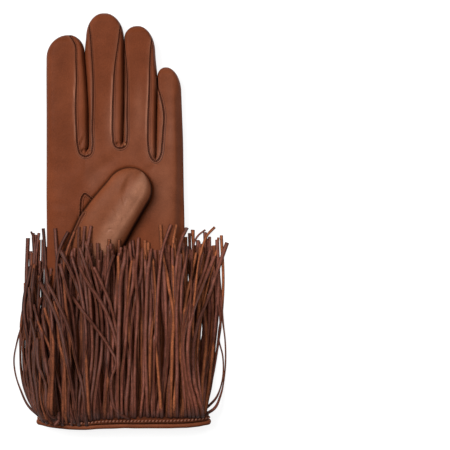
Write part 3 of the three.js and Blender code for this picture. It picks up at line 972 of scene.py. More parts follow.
@dataclass
class GloveShell:
    """The hand, fingers, finger gussets and thumb quirk, sewn as one skin and cut into its pieces."""

    form: HandForm
    relief: Relief
    painted_sheen: PaintedSheen
    thumb: Seam
    columns: int = 40
    step: float = 0.85
    wall: float = 1.1
    inside_columns: int = 12
    inside_step: float = 3.5
    finer: float = 0.6
    finer_from: Span = (70.0, 102.0)
    back_dent: float = 0.6

    NODES = ("trank", "gusset_index_middle", "gusset_middle_ring", "gusset_ring_little", "thumb_quirk")

    def __post_init__(self) -> None:
        """Run the seams."""
        self.palm_seams = [Seam(points) for points in PALM_SEAMS]
        self.back_seams = [back_seam(i) for i in range(len(GROOVES))]
        self.quirk_seam = Seam(QUIRK_SEAM[::-1])
        self.side_seam = Seam(SIDE_SEAM)

    def palm_side(self, grid: dict[str, Array]) -> Skin:
        """Upper face of one finger's strip, with its folds, its seams and the thumb's print.

        Args:
            grid: The strip that HandForm laid out.

        Returns:
            The face.
        """
        x, y = grid["x"], grid["y"]
        gussets = nearest([s.distance(x, y) for s in self.palm_seams])
        palm = nearest([gussets, self.quirk_seam.distance(x, y)])
        pressed_and_shaded = self.relief.pressed_and_shaded(np.abs(self.thumb.distance(x, y)))
        folds = sum(crease.at(x, y) for crease in PALM_CREASES) + self.relief.dents(x, y)
        folds = folds + self.relief.gusset(gussets, grid["gap"], grid["side"]) - self.relief.press * pressed_and_shaded
        top = grid["top"] + grid["fade"] * (self.relief.at(x, y, palm) + folds)
        # Painted highlight only on the left lip of each gusset seam, the side the light comes from
        beyond = nearest([s.distance(x + self.relief.lip_shift, y) for s in self.palm_seams])
        painted_light = self.relief.painted_light(gussets, y) * (np.abs(beyond) < np.abs(gussets))
        seam = palm * (1.0 + self.finer * smoothstep(*self.finer_from, y))
        # Painted light: the palm's painted sheen, painted shade round the thumb's print, and painted
        # highlights on the seam lips
        values = {"seam": seam, "upper": 1.0, "painted_light_and_gloss": self.painted_sheen.at(x, y) - pressed_and_shaded + painted_light}
        return Skin.from_grid(np.dstack([x, y, top]), values)

    def back_side(self, grid: dict[str, Array]) -> Skin:
        """Lower face of one finger's strip, with half as many columns.

        Args:
            grid: The strip that HandForm laid out.

        Returns:
            The face.
        """
        half = {name: values[:, ::2] for name, values in grid.items()}
        x, y = half["x"], half["y"]
        runs = [s.distance(x, y) for s in self.back_seams]
        back = nearest([*runs, np.abs(self.side_seam.distance(x, y))])
        dent = -self.back_dent * np.minimum(self.relief.at(x, y, back), 0.0) * half["fade"]
        low = np.maximum(0.0, half["low"] + dent)
        return Skin.from_grid(np.dstack([x, y, low]), {"seam": back, "upper": 0.0, "painted_light_and_gloss": 0.0}, flip=True)

    def outside(self) -> Skin:
        """The outer face of the leather, with its relief and the distance to the nearest seam."""
        grids = [self.form.strip(finger, self.columns, self.step) for finger in range(len(FINGERS))]
        faces = [face for grid in grids for face in (self.palm_side(grid), self.back_side(grid))]
        return Skin.joined(faces).welded()

    def inside(self) -> Skin:
        """Lay out the inside of the glove.

        Returns:
            The flesh face of the leather.
        """
        values = {"seam": UNSEWN, "upper": 0.0, "painted_light_and_gloss": 0.0}
        skins = []
        for finger in range(len(FINGERS)):
            grid = self.form.strip(finger, self.inside_columns, self.inside_step, self.wall)
            for name, flip in (("top", True), ("low", False)):
                face = np.dstack([grid["x"], grid["y"], grid[name]])
                skins.append(Skin.from_grid(face, values, flip=flip))
        return Skin.joined(skins).welded()

    def panels(self, skin: Skin, upper: Array) -> Array:
        """Tell which piece each face belongs to.

        Args:
            skin: The outer face of the leather.
            upper: Whether each face is on the palm side.

        Returns:
            The piece's number in NODES, one a face.
        """
        x, y = skin.centres()[:, :2].T
        panel = np.zeros(len(x), dtype=int)
        for number, (palm, back) in enumerate(zip(self.palm_seams, self.back_seams), start=1):
            panel[np.where(upper, palm.encloses(x, y), back.encloses(x, y))] = number
        panel[upper & self.quirk_seam.encloses(x, y)] = self.NODES.index("thumb_quirk")
        return panel

    def build(self, leather: Material, flesh: Material) -> Skin:
        """Make the trank, the gussets and the quirk.

        Args:
            leather: Material of the outer face.
            flesh: Material of the inside.

        Returns:
            The whole outer face.
        """
        skin = self.outside()
        normals = skin.normals()
        upper = np.array([skin.values["upper"][list(face)].mean() > 0.5 for face in skin.faces])
        panel = self.panels(skin, upper)
        for number, node in enumerate(self.NODES):
            part, used = skin.part(panel == number)
            if number == 0:
                lined_piece(f"{node}_leather", part, normals[used], self.inside(), (leather, flesh), node)
            else:
                seat(add_piece(f"{node}_leather", part, [leather], normals[used]), Slot.GUSSET, node)
        return skin


def lined_piece(
    name: str, outer: Skin, shade: Array, inner: Skin, materials: Sequence[Material], node: str
) -> None:
    """Make a piece of the glove from its outer face and its inside.

    Args:
        name: Name of the piece.
        outer: Outer face of the leather.
        shade: Normals of the outer face.
        inner: Flesh face inside the glove.
        materials: Materials of the two faces.
        node: Part of the glove that the piece stands for.
    """
    normals = np.vstack([shade, inner.normals()])
    slots = np.concatenate([np.zeros(len(outer.faces)), np.ones(len(inner.faces))])
    both = Skin.joined([outer, inner])
    seat(add_piece(name, both, materials, normals, face_material=slots), Slot.GLOVE, node)


# The thumb


@dataclass(frozen=True)
class Crease:
    """A fold line in plan: a narrow valley with a raised lip to its right."""

    points: tuple[tuple[float, float], ...]
    depth: float
    width: float
    lip: float = 0.0

    STEP = 0.7
    ENDS = (0.04, 0.96)
    LIP_AT = 1.8
    LIP_WIDTH = 1.2

    def at(self, x: Array, y: Array) -> Array:
        """Press the crease into the leather.

        Args:
            x: Places across the glove.
            y: Places along it.

        Returns:
            The height that it adds at each place.
        """
        path = smooth_path(self.points, self.STEP)
        near, ahead = path[:-1], np.diff(path, axis=0)
        best, height = np.full(x.shape, FAR), np.zeros(x.shape)
        for k, (start, leg) in enumerate(zip(near, ahead)):
            share = np.clip(((x - start[0]) * leg[0] + (y - start[1]) * leg[1]) / (leg @ leg), 0.0, 1.0)
            dx, dy = x - start[0] - share * leg[0], y - start[1] - share * leg[1]
            away = np.hypot(dx, dy)
            side = np.sign(leg[1] * dx - leg[0] * dy)
            fade = np.sin(math.pi * np.clip((k + share) / len(near), *self.ENDS))
            valley = -self.depth * hump(away, self.width)
            beside = hump(away - self.LIP_AT * self.width, self.LIP_WIDTH * self.width)
            raised = self.lip * beside * (side > 0)
            height = np.where(away < best, fade * (valley + raised), height)
            best = np.minimum(best, away)
        return height


THUMB_CREASES = (
    Crease(((8.2, 30.0), (6.6, 26.2), (4.6, 20.8), (2.6, 14.2)), 0.42, 1.5, 0.5),
    Crease(((2.2, 14.6), (2.7, 12.2), (2.9, 9.6)), 0.35, 0.5, 0.15),
    Crease(((4.8, 14.0), (3.7, 11.0), (3.4, 8.0)), 0.2, 0.6, 0.1),
    Crease(((-3.2, 7.6), (-1.6, 5.2), (-0.4, 2.4)), 0.4, 0.55, 0.2),
    Crease(((2.0, 2.4), (2.4, 0.8), (3.0, -0.4)), 0.3, 0.5, 0.15),
    Crease(((-6.8, -7.6), (-6.4, -6.0), (-5.0, -4.8), (-3.6, -5.4), (-3.0, -7.4)), 0.45, 0.5, 0.2),
    Crease(((14.6, 24.6), (13.2, 16.0), (8.2, 7.6), (2.6, -2.4)), 0.35, 1.6, 0.0),
)
PALM_CREASES = (
    Crease(((1.6, 42.0), (-4.2, 37.0), (-11.4, 31.6), (-20.2, 25.4)), 0.35, 3.2, 0.35),
    Crease(((-19.6, 38.0), (-20.4, 31.0), (-23.6, 22.0)), 0.12, 1.8, 0.1),
    Crease(((22.0, 35.0), (19.4, 31.6), (14.4, 30.8)), 0.3, 2.4, 0.3),
    Crease(((-43.8, 12.0), (-36.4, 9.6), (-30.2, 10.4)), 0.25, 2.2, 0.25),
    Crease(((12.8, 44.0), (16.0, 36.6), (21.4, 29.4)), 0.25, 2.6, 0.3),
    Crease(((-20.9, 52.0), (-22.4, 47.8), (-23.6, 43.6)), 0.5, 0.8, 0.45),
)


@dataclass(frozen=True)
class ThumbForm:
    """The hollow thumb that is folded over the palm."""

    tip: ThumbTip = ThumbTip()
    folds: Ripple = Ripple(5.0, 21)
    folds_stretch: float = 3.0
    folds_depth: float = 0.12
    swell: Ripple = Ripple(13.0, 8)
    swell_depth: float = 0.4
    relief_fade: Span = (0.8, 1.0)
    rows: int = 130
    columns: int = 84
    tip_rows: int = 14
    outline_grid: tuple[int, int] = (60, 12)
    inside_grid: tuple[int, int] = (24, 12)
    mid: float = 0.4
    left_top: float = 2.9
    right_top: float = 2.5
    lift: float = 0.9
    lift_rise: Span = (-0.25, 0.5)
    lift_fall: Span = (0.6, 1.0)
    rest: float = 4.2
    rest_press: float = 1.06
    # Painted light across the thumb: a painted highlight rising towards its right side and fading before the
    # edges, and painted shade at both edges
    sheen_least: float = 0.15
    sheen_rise: Span = (-0.2, 0.4)
    sheen_fall: Span = (0.55, 0.92)
    edge_painted_shade: Span = (0.9, 1.0)
    seam_in: float = 1.7
    seam_end: Span = (-8.0, 0.0)
    seam_fade: float = 8.0
    wall: float = 1.1

    @staticmethod
    def place(along: Array, across: Array) -> tuple[Array, Array]:
        """Plan position of a point of the thumb's own frame."""
        c, s = math.cos(THUMB_TURN), math.sin(THUMB_TURN)
        return along * c + across * s, along * s - across * c

    def grid(self, inset: float, rows: int, columns: int) -> tuple[Array, Array, Array, Array, Array]:
        """Lay the thumb out.

        Args:
            inset: Distance inside the leather's outer face.
            rows: Rows along it.
            columns: Columns across each of its two faces.

        Returns:
            Along and across in its own frame, the upper and lower heights, and the share across.
        """
        tip = self.tip
        end = tip.along - inset
        straight = end - tip.round_left
        stalk = np.linspace(THUMB.rows[0][0], straight, rows - self.tip_rows)
        angles = np.linspace(0.0, math.pi / 2, self.tip_rows + 1)[1:]
        along = np.concatenate([stalk, straight + tip.round_left * np.sin(angles)])[:, None]
        share = -np.cos(math.pi * np.linspace(0.0, 1.0, columns + 1))[None, :]
        left = THUMB.read("left", along) + inset
        right = THUMB.read("right", along) - inset
        left = tip.across + (left - tip.across) * tip_share(end - along, tip.round_left)
        right = tip.across + (right - tip.across) * tip_share(end - along, tip.round_right)
        low = THUMB.read("low", along) + inset
        high = THUMB.read("high", along) - inset
        middle = low + self.mid * (high - low)
        rounding = tip_share(end - along, tip.round_high)
        across = (left + right) / 2 + share * (right - left) / 2
        power = np.where(share < 0, self.left_top, self.right_top)
        top = middle + (high - middle) * rounding * crown(share, power)
        raised = smoothstep(*self.lift_rise, share) * (1.0 - smoothstep(*self.lift_fall, share))
        top = top + self.lift * rounding * raised
        depth = (middle - low) * rounding
        under = middle - np.minimum(depth, self.rest_press * depth * crown(share, self.rest))
        return np.broadcast_to(along, across.shape), across, top, under, np.broadcast_to(share, across.shape)

    def outline(self) -> Seam:
        """Plan outline of the thumb, from its base round the tip and back."""
        along, across = self.grid(0.0, *self.outline_grid)[:2]
        left, right = (np.column_stack(self.place(along[:, k], across[:, k])) for k in (0, -1))
        return Seam([*left, *right[-2::-1]])

    def relief(self, along: Array, across: Array, share: Array) -> Array:
        """Soft folds that run along the thumb, fading at its edges.

        Args:
            along: Places along the thumb.
            across: Places across it.
            share: The same across, from -1 to 1.

        Returns:
            The height to add at each place.
        """
        fade = 1.0 - smoothstep(*self.relief_fade, np.abs(share))
        folds = self.folds.at(along / self.folds_stretch, across) * self.folds_depth
        x, y = self.place(along, across)
        creases = sum(crease.at(x, y) for crease in THUMB_CREASES)
        return fade * (folds + self.swell.at(along, across) * self.swell_depth + creases)

    def skins(self, inset: float, rows: int, columns: int) -> list[Skin]:
        """Cover the thumb.

        Args:
            inset: Distance inside the leather's outer face, nothing for the outer face itself.
            rows: Rows along it.
            columns: Columns across each of its two faces.

        Returns:
            Its upper and its lower face.
        """
        along, across, top, under, share = self.grid(inset, rows, columns)
        inward = inset > 0
        if not inward:
            top = top + self.relief(along, across, share)
        x, y = self.place(along, across)
        beside = np.abs(share)
        # Painted highlight rising towards the thumb's right side and fading before the edges, then painted
        # shade at both edges
        painted_light_and_gloss = mix(self.sheen_least, 1.0, smoothstep(*self.sheen_rise, share))
        painted_light_and_gloss = painted_light_and_gloss * (1.0 - smoothstep(*self.sheen_fall, beside)) - smoothstep(*self.edge_painted_shade, beside)
        seam = np.abs(across - across[:, :1] - self.seam_in)
        seam = seam + self.seam_fade * smoothstep(*self.seam_end, along) + UNSEWN * inward
        values = {"seam": seam, "upper": 1.0, "painted_light_and_gloss": painted_light_and_gloss}
        return [
            Skin.from_grid(np.dstack([x, y, top]), values, flip=not inward),
            Skin.from_grid(np.dstack([x, y, under]), {**values, "seam": UNSEWN}, flip=inward),
        ]

    def build(self, leather: Material, flesh: Material) -> Skin:
        """Make the thumb.

        Args:
            leather: Material of its outer face.
            flesh: Material of its inside.

        Returns:
            Its outer face.
        """
        outer = Skin.joined(self.skins(0.0, self.rows, self.columns)).welded()
        inner = Skin.joined(self.skins(self.wall, *self.inside_grid)).welded()
        lined_piece("thumb_leather", outer, outer.normals(), inner, (leather, flesh), "thumb")
        return outer


# Stitches


@dataclass(frozen=True)
class Thread:
    """Size of one stitch and the distance to the next."""

    pitch: float
    length: float
    radius: float
    slant: float
    sink: float = 0.05


class Stitcher:
    """Rows of small slanted stitches, each a short pinched thread."""

    SIDES = 6
    RINGS = ((-0.5, 0.25), (-0.38, 0.8), (0.0, 1.0), (0.38, 0.8), (0.5, 0.25))
    BOW = 0.9
    DIVE = 3.4
    STEEPEST = 0.25

    def __init__(self) -> None:
        """Start with no stitches."""
        self.skins: list[Skin] = []

    def stitch(self, centre: Array, along: Array, normal: Array, thread: Thread) -> None:
        """Add one stitch.

        Args:
            centre: Its middle.
            along: Direction of its thread.
            normal: Normal of the leather under it.
            thread: Its size.
        """
        side = np.cross(normal, along)
        rings = []
        for share, width in self.RINGS:
            bow = thread.radius * (self.BOW - self.DIVE * share**2)
            middle = centre + along * share * thread.length + normal * bow
            turns = np.linspace(0.0, 2 * math.pi, self.SIDES, endpoint=False)
            round_ = np.cos(turns)[:, None] * side + np.sin(turns)[:, None] * normal
            rings.append(middle + round_ * thread.radius * width)
        self.skins.append(Skin.from_grid(np.array(rings), {"seam": UNSEWN}, loop=True))

    def follow(self, path: Array, surface: BVHTree, upward: bool, thread: Thread) -> None:
        """Sew along a plan path, on the first surface met from above or from below.

        Args:
            path: Points of the path in plan.
            surface: The leather.
            upward: Whether the surface that faces up is sewn.
            thread: Size of the stitches.
        """
        even = smooth_path(path, thread.pitch)
        tangent = unit(np.gradient(even, axis=0))
        start, heading = (ABOVE, -1.0) if upward else (BELOW, 1.0)
        for place, direction in zip(even, tangent):
            hit, normal, _, _ = surface.ray_cast(Vector((*place, start)), Vector((0, 0, heading)))
            if hit is None:
                continue
            up = np.array(normal if normal.z * heading < 0 else -normal)
            if abs(up[2]) < self.STEEPEST:
                continue
            turned = self.turn(np.array([*direction, 0.0]), up, thread.slant)
            self.stitch(np.array(hit) - up * thread.sink, turned, up, thread)

    @staticmethod
    def turn(direction: Array, up: Array, slant: float) -> Array:
        """Turn a stitch by its slant.

        Args:
            direction: Direction of the seam.
            up: Normal of the leather.
            slant: The stitch's slant.

        Returns:
            The direction laid into the surface and turned.
        """
        flat = unit(direction - up * (direction @ up))
        side = np.cross(up, flat)
        return unit(flat * math.cos(slant) + side * math.sin(slant))

    def build(self, name: str, material: Material, slot: Slot) -> None:
        """Make all the stitches as one piece."""
        seat(add_piece(name, Skin.joined(self.skins), [material]), slot)


# The cuff


@dataclass
class Cuff:
    """The stitched band and the rolled edge round the mouth of the glove.

    The section of the band has rows of y, height over the hand and painted light, which below zero is
    painted shade, darkest at the band's top under the fringe and along its lower edge. WAVE is the line of
    the rolled edge, and SWAY is how far the band bends with it.
    """

    form: HandForm
    around: int = 220
    snug: float = 0.7
    # The third column is painted light; below zero it is painted shade at the band's top, under the fringe,
    # and along its lower edge
    section: tuple[tuple[float, float, float], ...] = (
        (-120.6, 1.0, -1.0), (-121.1, 1.6, -1.0), (-120.9, 2.15, -0.8), (-120.4, 2.4, -0.45),
        (-119.9, 2.35, 0.0), (-119.5, 2.15, -0.1), (-119.1, 2.2, -0.2), (-118.7, 2.55, -0.3),
        (-118.1, 2.85, -0.5), (-117.4, 2.75, -0.6), (-117.0, 2.0, -1.0), (-117.2, 1.2, -1.0),
    )
    groove_y: float = -119.6
    waver: Ripple = Ripple(7.0, 31)
    band_waver: float = 0.16
    band_turns: float = 3.0
    lift: float = 0.9
    lift_x: Span = (2.0, 14.0)
    lift_y: Span = (-119.1, -117.8)
    roll_radius: float = 1.6
    roll_inset: float = 0.7
    roll_sides: int = 12
    roll_waver: float = 0.07
    roll_stretch: Span = (1.3, 4.0)
    roll_shift: float = 50.0
    roll_blur: float = 2.0
    # Painted highlight on the side of the roll towards the fingers and painted shade on the side away from
    # them
    roll_highlight: float = 0.55
    highlight_turn: float = 0.25
    end_swell: float = 0.34
    root_at: float = -118.8
    root_sway: float = 1.3
    root_lift: float = 0.6
    stitch_y: float = -119.55
    stitch_rise: float = 2.2
    thread: Thread = Thread(pitch=2.14, length=1.75, radius=0.52, slant=0.6, sink=0.1)

    WAVE = Table(
        ("x", "y"),
        ((-49.5, -120.2), (-48.0, -120.6), (-46.5, -121.2), (-42.3, -122.4), (-34.0, -123.2),
         (-24.0, -123.65), (-18.3, -123.6), (-13.7, -123.0), (-5.0, -122.9), (3.0, -122.55), (10.0, -122.7),
         (30.0, -122.7), (42.0, -122.4), (49.0, -121.6), (52.5, -120.8), (54.5, -120.1)),
    )
    SWAY = Table(
        ("x", "y"),
        ((-50.0, 1.6), (-46.5, 0.7), (-40.0, -0.4), (-30.0, -1.1), (-20.7, -1.3), (-15.3, -0.8),
         (-10.0, -0.2), (0.0, 0.0), (30.0, 0.1), (42.3, 0.5), (48.3, 1.0), (53.7, 1.6)),
    )

    def __post_init__(self) -> None:
        """Make the band's skin."""
        self.collar = self.band()

    def ring(self, y: float, offset: float) -> tuple[Array, Array]:
        """Run round the hand's section at a station.

        Args:
            y: The station.
            offset: Height over the hand, less at the narrow ends.

        Returns:
            Points of x and z round the section, and their outward directions.
        """
        left, right = float(HAND.read("left", y)), float(HAND.read("right", y))
        half = self.around // 2
        share = -np.cos(math.pi * np.arange(half) / half)
        reach = (right - left) / 2
        x = (left + right) / 2 + share * reach
        top, low = self.form.hand_heights(x, np.full_like(x, y))
        x = np.concatenate([x, -share * reach + (left + right) / 2])
        z = np.concatenate([top, low[::-1][:1], low[::-1][:-1]])
        z[half] = float(self.form.hand_heights(np.array([right]), np.array([y]))[0][0])
        outward = np.column_stack([np.roll(z, 1) - np.roll(z, -1), np.roll(x, -1) - np.roll(x, 1)])
        outward = unit(outward)
        snug = 1.0 - self.snug * outward[:, :1] ** 2
        return np.column_stack([x, z]) + outward * offset * snug, outward

    def widened(self, x: float | Array) -> Array:
        """How much wider the band is on the little finger side."""
        return self.lift * smoothstep(*self.lift_x, np.asarray(x))

    def root(self, x: float) -> float:
        """Where a strip leaves the band, just under its edge."""
        sway = self.root_sway * float(self.SWAY.read("y", x))
        return self.root_at + sway + self.root_lift * float(self.widened(x))

    def band(self) -> Skin:
        """Make the band, slightly wavy and drawn in along its stitches.

        Returns:
            Its closed collar.
        """
        rows, seam, painted_light_and_gloss = [], [], []
        for y, offset, painted_light in (*self.section, self.section[0]):
            x, z = self.ring(y, offset)[0].T
            wave = self.band_waver * self.waver.at(x, z * self.band_turns + y) + self.SWAY.read("y", x)
            wave = wave + self.widened(x) * float(smoothstep(*self.lift_y, np.array(y)))
            rows.append(np.column_stack([x, y + wave, z]))
            seam.append([abs(y - self.groove_y)])
            painted_light_and_gloss.append([painted_light])
        values = {"seam": np.array(seam), "painted_light_and_gloss": np.array(painted_light_and_gloss)}
        return Skin.from_grid(np.array(rows), values, loop=True, flip=True).welded()

    def roll(self) -> Skin:
        """Make the rolled edge, which wanders a little.

        Returns:
            Its closed ring.
        """
        points, outward = self.ring(self.form.cuff_y, -self.roll_inset)
        waver = self.waver.at(*(points * self.roll_stretch + (0.0, self.roll_shift)).T)
        radius = self.roll_radius * (1 + self.roll_waver * waver)
        radius = radius * (1 + self.end_swell * outward[:, 0] ** 2)
        wave = self.WAVE.read("y", points[:, 0], self.roll_blur)
        rows, painted_light_and_gloss = [], []
        for turn in 2 * math.pi * np.arange(self.roll_sides + 1) / self.roll_sides:
            flat = points + outward * (radius * math.cos(turn))[:, None]
            rows.append(np.column_stack([flat[:, 0], wave + radius * math.sin(turn), flat[:, 1]]))
            # Painted highlight on the roll's side towards the fingers, painted shade on the side away from
            # them
            painted_light_and_gloss.append([self.roll_highlight * math.sin(turn + self.highlight_turn)])
        return Skin.from_grid(np.array(rows), {"seam": UNSEWN, "painted_light_and_gloss": np.array(painted_light_and_gloss)}, loop=True)

    def sew(self, material: Material) -> None:
        """Sew the row of stitches along the band.

        Args:
            material: Material of the stitches.
        """
        stitcher = Stitcher()
        points, outward = self.ring(self.stitch_y, self.stitch_rise)
        run = np.concatenate([[0.0], np.cumsum(np.linalg.norm(np.diff(points, axis=0), axis=1))])
        for at in np.arange(0.0, run[-1], self.thread.pitch):
            x, z = (float(np.interp(at, run, column)) for column in points.T)
            across, rise = (float(np.interp(at, run, column)) for column in outward.T)
            up = unit(np.array([across, 0.0, rise]))
            turned = Stitcher.turn(np.array([up[2], 0.0, -up[0]]), up, self.thread.slant)
            y = self.stitch_y + float(self.SWAY.read("y", x))
            stitcher.stitch(np.array([x, y, z]), turned, up, self.thread)
        stitcher.build("cuff_stitches", material, Slot.CUFF)

    def build(
        self, band: Material, leather: Material, thread: Material
    ) -> None:
        """Make the band, the rolled edge and the band's stitches.

        Args:
            band: Material of the band.
            leather: Material of the rolled edge.
            thread: Material of the stitches.
        """
        seat(add_piece("cuff_band_leather", self.collar, [band]), Slot.CUFF, "cuff_band")
        seat(add_piece("cuff_piping_leather", self.roll().welded(), [leather]), Slot.CUFF, "cuff_piping")
        self.sew(thread)


# The fringe


class HeightField:
    """The highest surface over a plan, raised as strips are laid on it."""

    def __init__(self, low: tuple[float, float], high: tuple[float, float], cell: float) -> None:
        """Start level with the surface that the glove lies on.

        Args:
            low: Lowest x and y of the plan.
            high: Highest x and y of it.
            cell: Side of a cell.
        """
        self.low = np.array(low)
        self.cell = cell
        count = np.ceil((np.array(high) - self.low) / cell).astype(int) + 1
        self.heights = np.zeros((count[1], count[0]))

    def probe(self, surfaces: Sequence[BVHTree]) -> None:
        """Raise the field to what is seen from above.

        Args:
            surfaces: The surfaces.
        """
        down = Vector((0, 0, -1))
        for row in range(0, self.heights.shape[0], 2):
            for column in range(0, self.heights.shape[1], 2):
                x, y = self.low + np.array([column, row]) * self.cell
                hits = [s.ray_cast(Vector((x, y, ABOVE)), down)[0] for s in surfaces]
                height = max((hit.z for hit in hits if hit is not None), default=0.0)
                self.heights[row : row + 2, column : column + 2] = height

    def index(self, x: Array, y: Array) -> tuple[Array, Array]:
        """Cell of each place."""
        column = np.clip(np.round((x - self.low[0]) / self.cell), 0, self.heights.shape[1] - 1)
        row = np.clip(np.round((y - self.low[1]) / self.cell), 0, self.heights.shape[0] - 1)
        return row.astype(int), column.astype(int)

    def sample(self, x: Array, y: Array) -> Array:
        """Height at each place."""
        return self.heights[self.index(x, y)]

    def raise_to(self, x: Array, y: Array, z: Array) -> None:
        """Raise the field to the given heights where they are higher."""
        np.maximum.at(self.heights, self.index(x, y), z)


@dataclass(frozen=True)
class Strip:
    """One cut strip: how it lies, and its plan route from the cuff to its tip as x and y by turns."""

    face: Face
    width: float
    on_edge: bool
    route: tuple[float, ...]
    over: bool = False


@dataclass(frozen=True)
class Cut:
    """How the strips are cut, how stiffly they lie and how they turn."""

    thick: float = 0.8
    slim: float = 0.88
    width_waver: float = 0.07
    width_waves: float = 9.0
    width_shift: float = 6.0
    step: float = 1.7
    sag: float = 0.03
    rounds: int = 70
    limp_rounds: int = 23
    blur_rounds: int = 2
    tilt: float = 0.6
    tilt_reach: float = 0.8
    roll: float = 0.4
    roll_waves: Span = (7.0, 9.0)
    calm: Span = (0.0, 0.12)
    edge_turn: float = 1.15
    edge_stretch: float = 1.15
    twist_share: float = 0.35
    twist_likely: Span = (0.5, 1.6)
    twist_at: Span = (0.25, 0.8)
    twist_half: float = 0.08
    bed: float = 0.9
    start_uneven: Span = (-0.5, 0.3)
    start_blend: Span = (0.01, 0.07)
    bend: Span = (0.2, 2.2)
    bend_at: float = 4.6
    bend_width: float = 2.2
    ledge: float = -119.7
    droop: float = 0.7
    # Length of the painted shade at each strip's root, and its share on strips that lie over the band
    root_shade_fade: float = 3.3
    over_root_shade: float = 0.35
    # Each strip's tone is random, raised by lighter towards the little finger side; tones below zero, mostly
    # on the index side, get painted shade
    tones: Span = (0.05, 0.95)
    tone_range: Span = (-0.5, 1.0)
    tone_shift: float = -0.06
    lighter: float = 0.012
    header_tone: float = 0.3


class Pile:
    """Strips laid one over another on a height field, and gathered in one skin."""

    SECTION = ((-0.5, -0.2), (0.0, -0.58), (0.5, -0.2), (0.5, 0.14),
               (0.4, 0.42), (0.0, 0.64), (-0.4, 0.42), (-0.5, 0.14))
    UPPER = (4, 5)
    LOWER = (0, 1)
    FLESH = {Face.GRAIN: (0.0, 1.0), Face.FLESH: (1.0, 0.0)}
    CUT_EDGE = 0.5
    STAMPS = 7

    def __init__(self, field: HeightField, cut: Cut, seed: int, start: float | None = None) -> None:
        """Start an empty pile.

        Args:
            field: What the strips are laid on.
            cut: How they are cut.
            seed: Seed of their small differences.
            start: Height at which they leave the band, or none for strips that lie flat.
        """
        self.field = field
        self.cut = cut
        self.start = start
        self.chance = np.random.default_rng(seed)
        self.skins: list[Skin] = []
        self.faces: list[Array] = []
        self.tones: list[Array] = []

    def lay(self, strip: Strip, stiff: bool = True) -> None:
        """Lay one strip over what is already there.

        Args:
            strip: The strip.
            stiff: Whether it bridges hollows, or follows every bump.
        """
        cut = self.cut
        route = smooth_path(np.reshape(strip.route, (-1, 2)), cut.step)
        share = np.linspace(0.0, 1.0, len(route))
        along = unit(np.gradient(route, axis=0))
        across = np.column_stack([along[:, 1], -along[:, 0]])
        own = self.own_turn(strip, share)
        flat, steep = np.abs(np.cos(own)), np.abs(np.sin(own))
        wide = strip.width * cut.slim
        reach = np.maximum(cut.thick, wide * flat)
        held_up = np.column_stack([route[:, 0], np.maximum(route[:, 1], cut.ledge)])
        shifts = (-0.5, -0.25, 0.0, 0.25, 0.5)
        levels = [self.field.sample(*(held_up + across * (reach * shift)[:, None]).T) for shift in shifts]
        left, right = np.maximum(levels[0], levels[1]), np.maximum(levels[3], levels[4])
        tilt = np.clip(np.arctan2(right - left, cut.tilt_reach * reach), -cut.tilt, cut.tilt)
        tilt = self.blurred(tilt, cut.blur_rounds) * flat
        held = np.maximum(levels[2], (left + right) / 2)
        held = np.maximum(held, np.maximum(left, right) - 0.5 * reach * np.abs(np.sin(tilt)))
        rise = flat * cut.thick / 2 + steep * wide / 2
        floor = held + rise * cut.bed - cut.droop * np.maximum(cut.ledge - route[:, 1], 0.0)
        if self.start is not None and not strip.over:
            floor = self.leaving(floor, share)
        centre = np.column_stack([route, self.draped(floor, stiff)])
        self.stamp(centre, across, reach, tilt, rise)
        self.cover(strip, centre, own + tilt)

    def leaving(self, floor: Array, share: Array) -> Array:
        """Let a strip leave the band at its own height and bend over beside it.

        Args:
            floor: Height of its supports.
            share: Places along it, from 0 to 1.

        Returns:
            The supports with the band's start.
        """
        cut = self.cut
        base = self.start + self.chance.uniform(*cut.start_uneven)
        floor = mix(np.minimum(floor, base), floor, smoothstep(*cut.start_blend, share))
        bend = self.chance.uniform(*cut.bend)
        return floor + bend * hump(share * len(share) * cut.step - cut.bend_at, cut.bend_width)

    def own_turn(self, strip: Strip, share: Array) -> Array:
        """Roll a strip about its own line.

        Args:
            strip: The strip.
            share: Places along it, from 0 to 1.

        Returns:
            How far it has turned at each place.
        """
        cut = self.cut
        wander = self.chance.uniform(-cut.roll, cut.roll, 3)
        waves, shift = cut.roll_waves
        roll = wander[0] * np.sin(waves * share + shift * wander[1]) + wander[2]
        gentle = smoothstep(*cut.calm, share) * roll
        if strip.on_edge:
            return gentle + cut.edge_turn * np.sin(math.pi * np.clip(share * cut.edge_stretch, 0, 1))
        if self.chance.uniform() > cut.twist_share * cut.twist_likely[strip.face is Face.FLESH]:
            return gentle
        middle = self.chance.uniform(*cut.twist_at)
        return gentle + math.pi * smoothstep(middle - cut.twist_half, middle + cut.twist_half, share)

    @staticmethod
    def blurred(values: Array, rounds: int) -> Array:
        """Even values out with their neighbours.

        Args:
            values: The values.
            rounds: How many times.

        Returns:
            The evened values.
        """
        result = values.copy()
        for _ in range(rounds):
            result[1:-1] = (result[:-2] + 2 * result[1:-1] + result[2:]) / 4
        return result

    def draped(self, floor: Array, stiff: bool) -> Array:
        """Bend a strip stiffly over its supports, sagging between them.

        Args:
            floor: Height of its supports.
            stiff: Whether it bridges hollows.

        Returns:
            Its height.
        """
        height = floor.copy()
        for _ in range(self.cut.rounds if stiff else self.cut.limp_rounds):
            evened = (height[:-2] + height[2:]) / 2 - self.cut.sag
            height[1:-1] = np.maximum(floor[1:-1], evened)
        return self.blurred(height, self.cut.blur_rounds)

    def stamp(self, centre: Array, across: Array, reach: Array, tilt: Array, rise: Array) -> None:
        """Raise the field to the top of the strip that was laid.

        Args:
            centre: Its middle line.
            across: Direction across it in plan.
            reach: Its width in plan.
            tilt: How far it leans on what lies under it.
            rise: Its height over its middle line.
        """
        for half in (0.0, 0.5):
            place = centre[:-1] + (centre[1:] - centre[:-1]) * half
            for offset in np.linspace(-0.5, 0.5, self.STAMPS):
                shift = reach[:-1] * offset
                x, y = (place[:, :2] + across[:-1] * shift[:, None]).T
                self.field.raise_to(x, y, place[:, 2] + rise[:-1] + np.sin(tilt[:-1]) * shift)

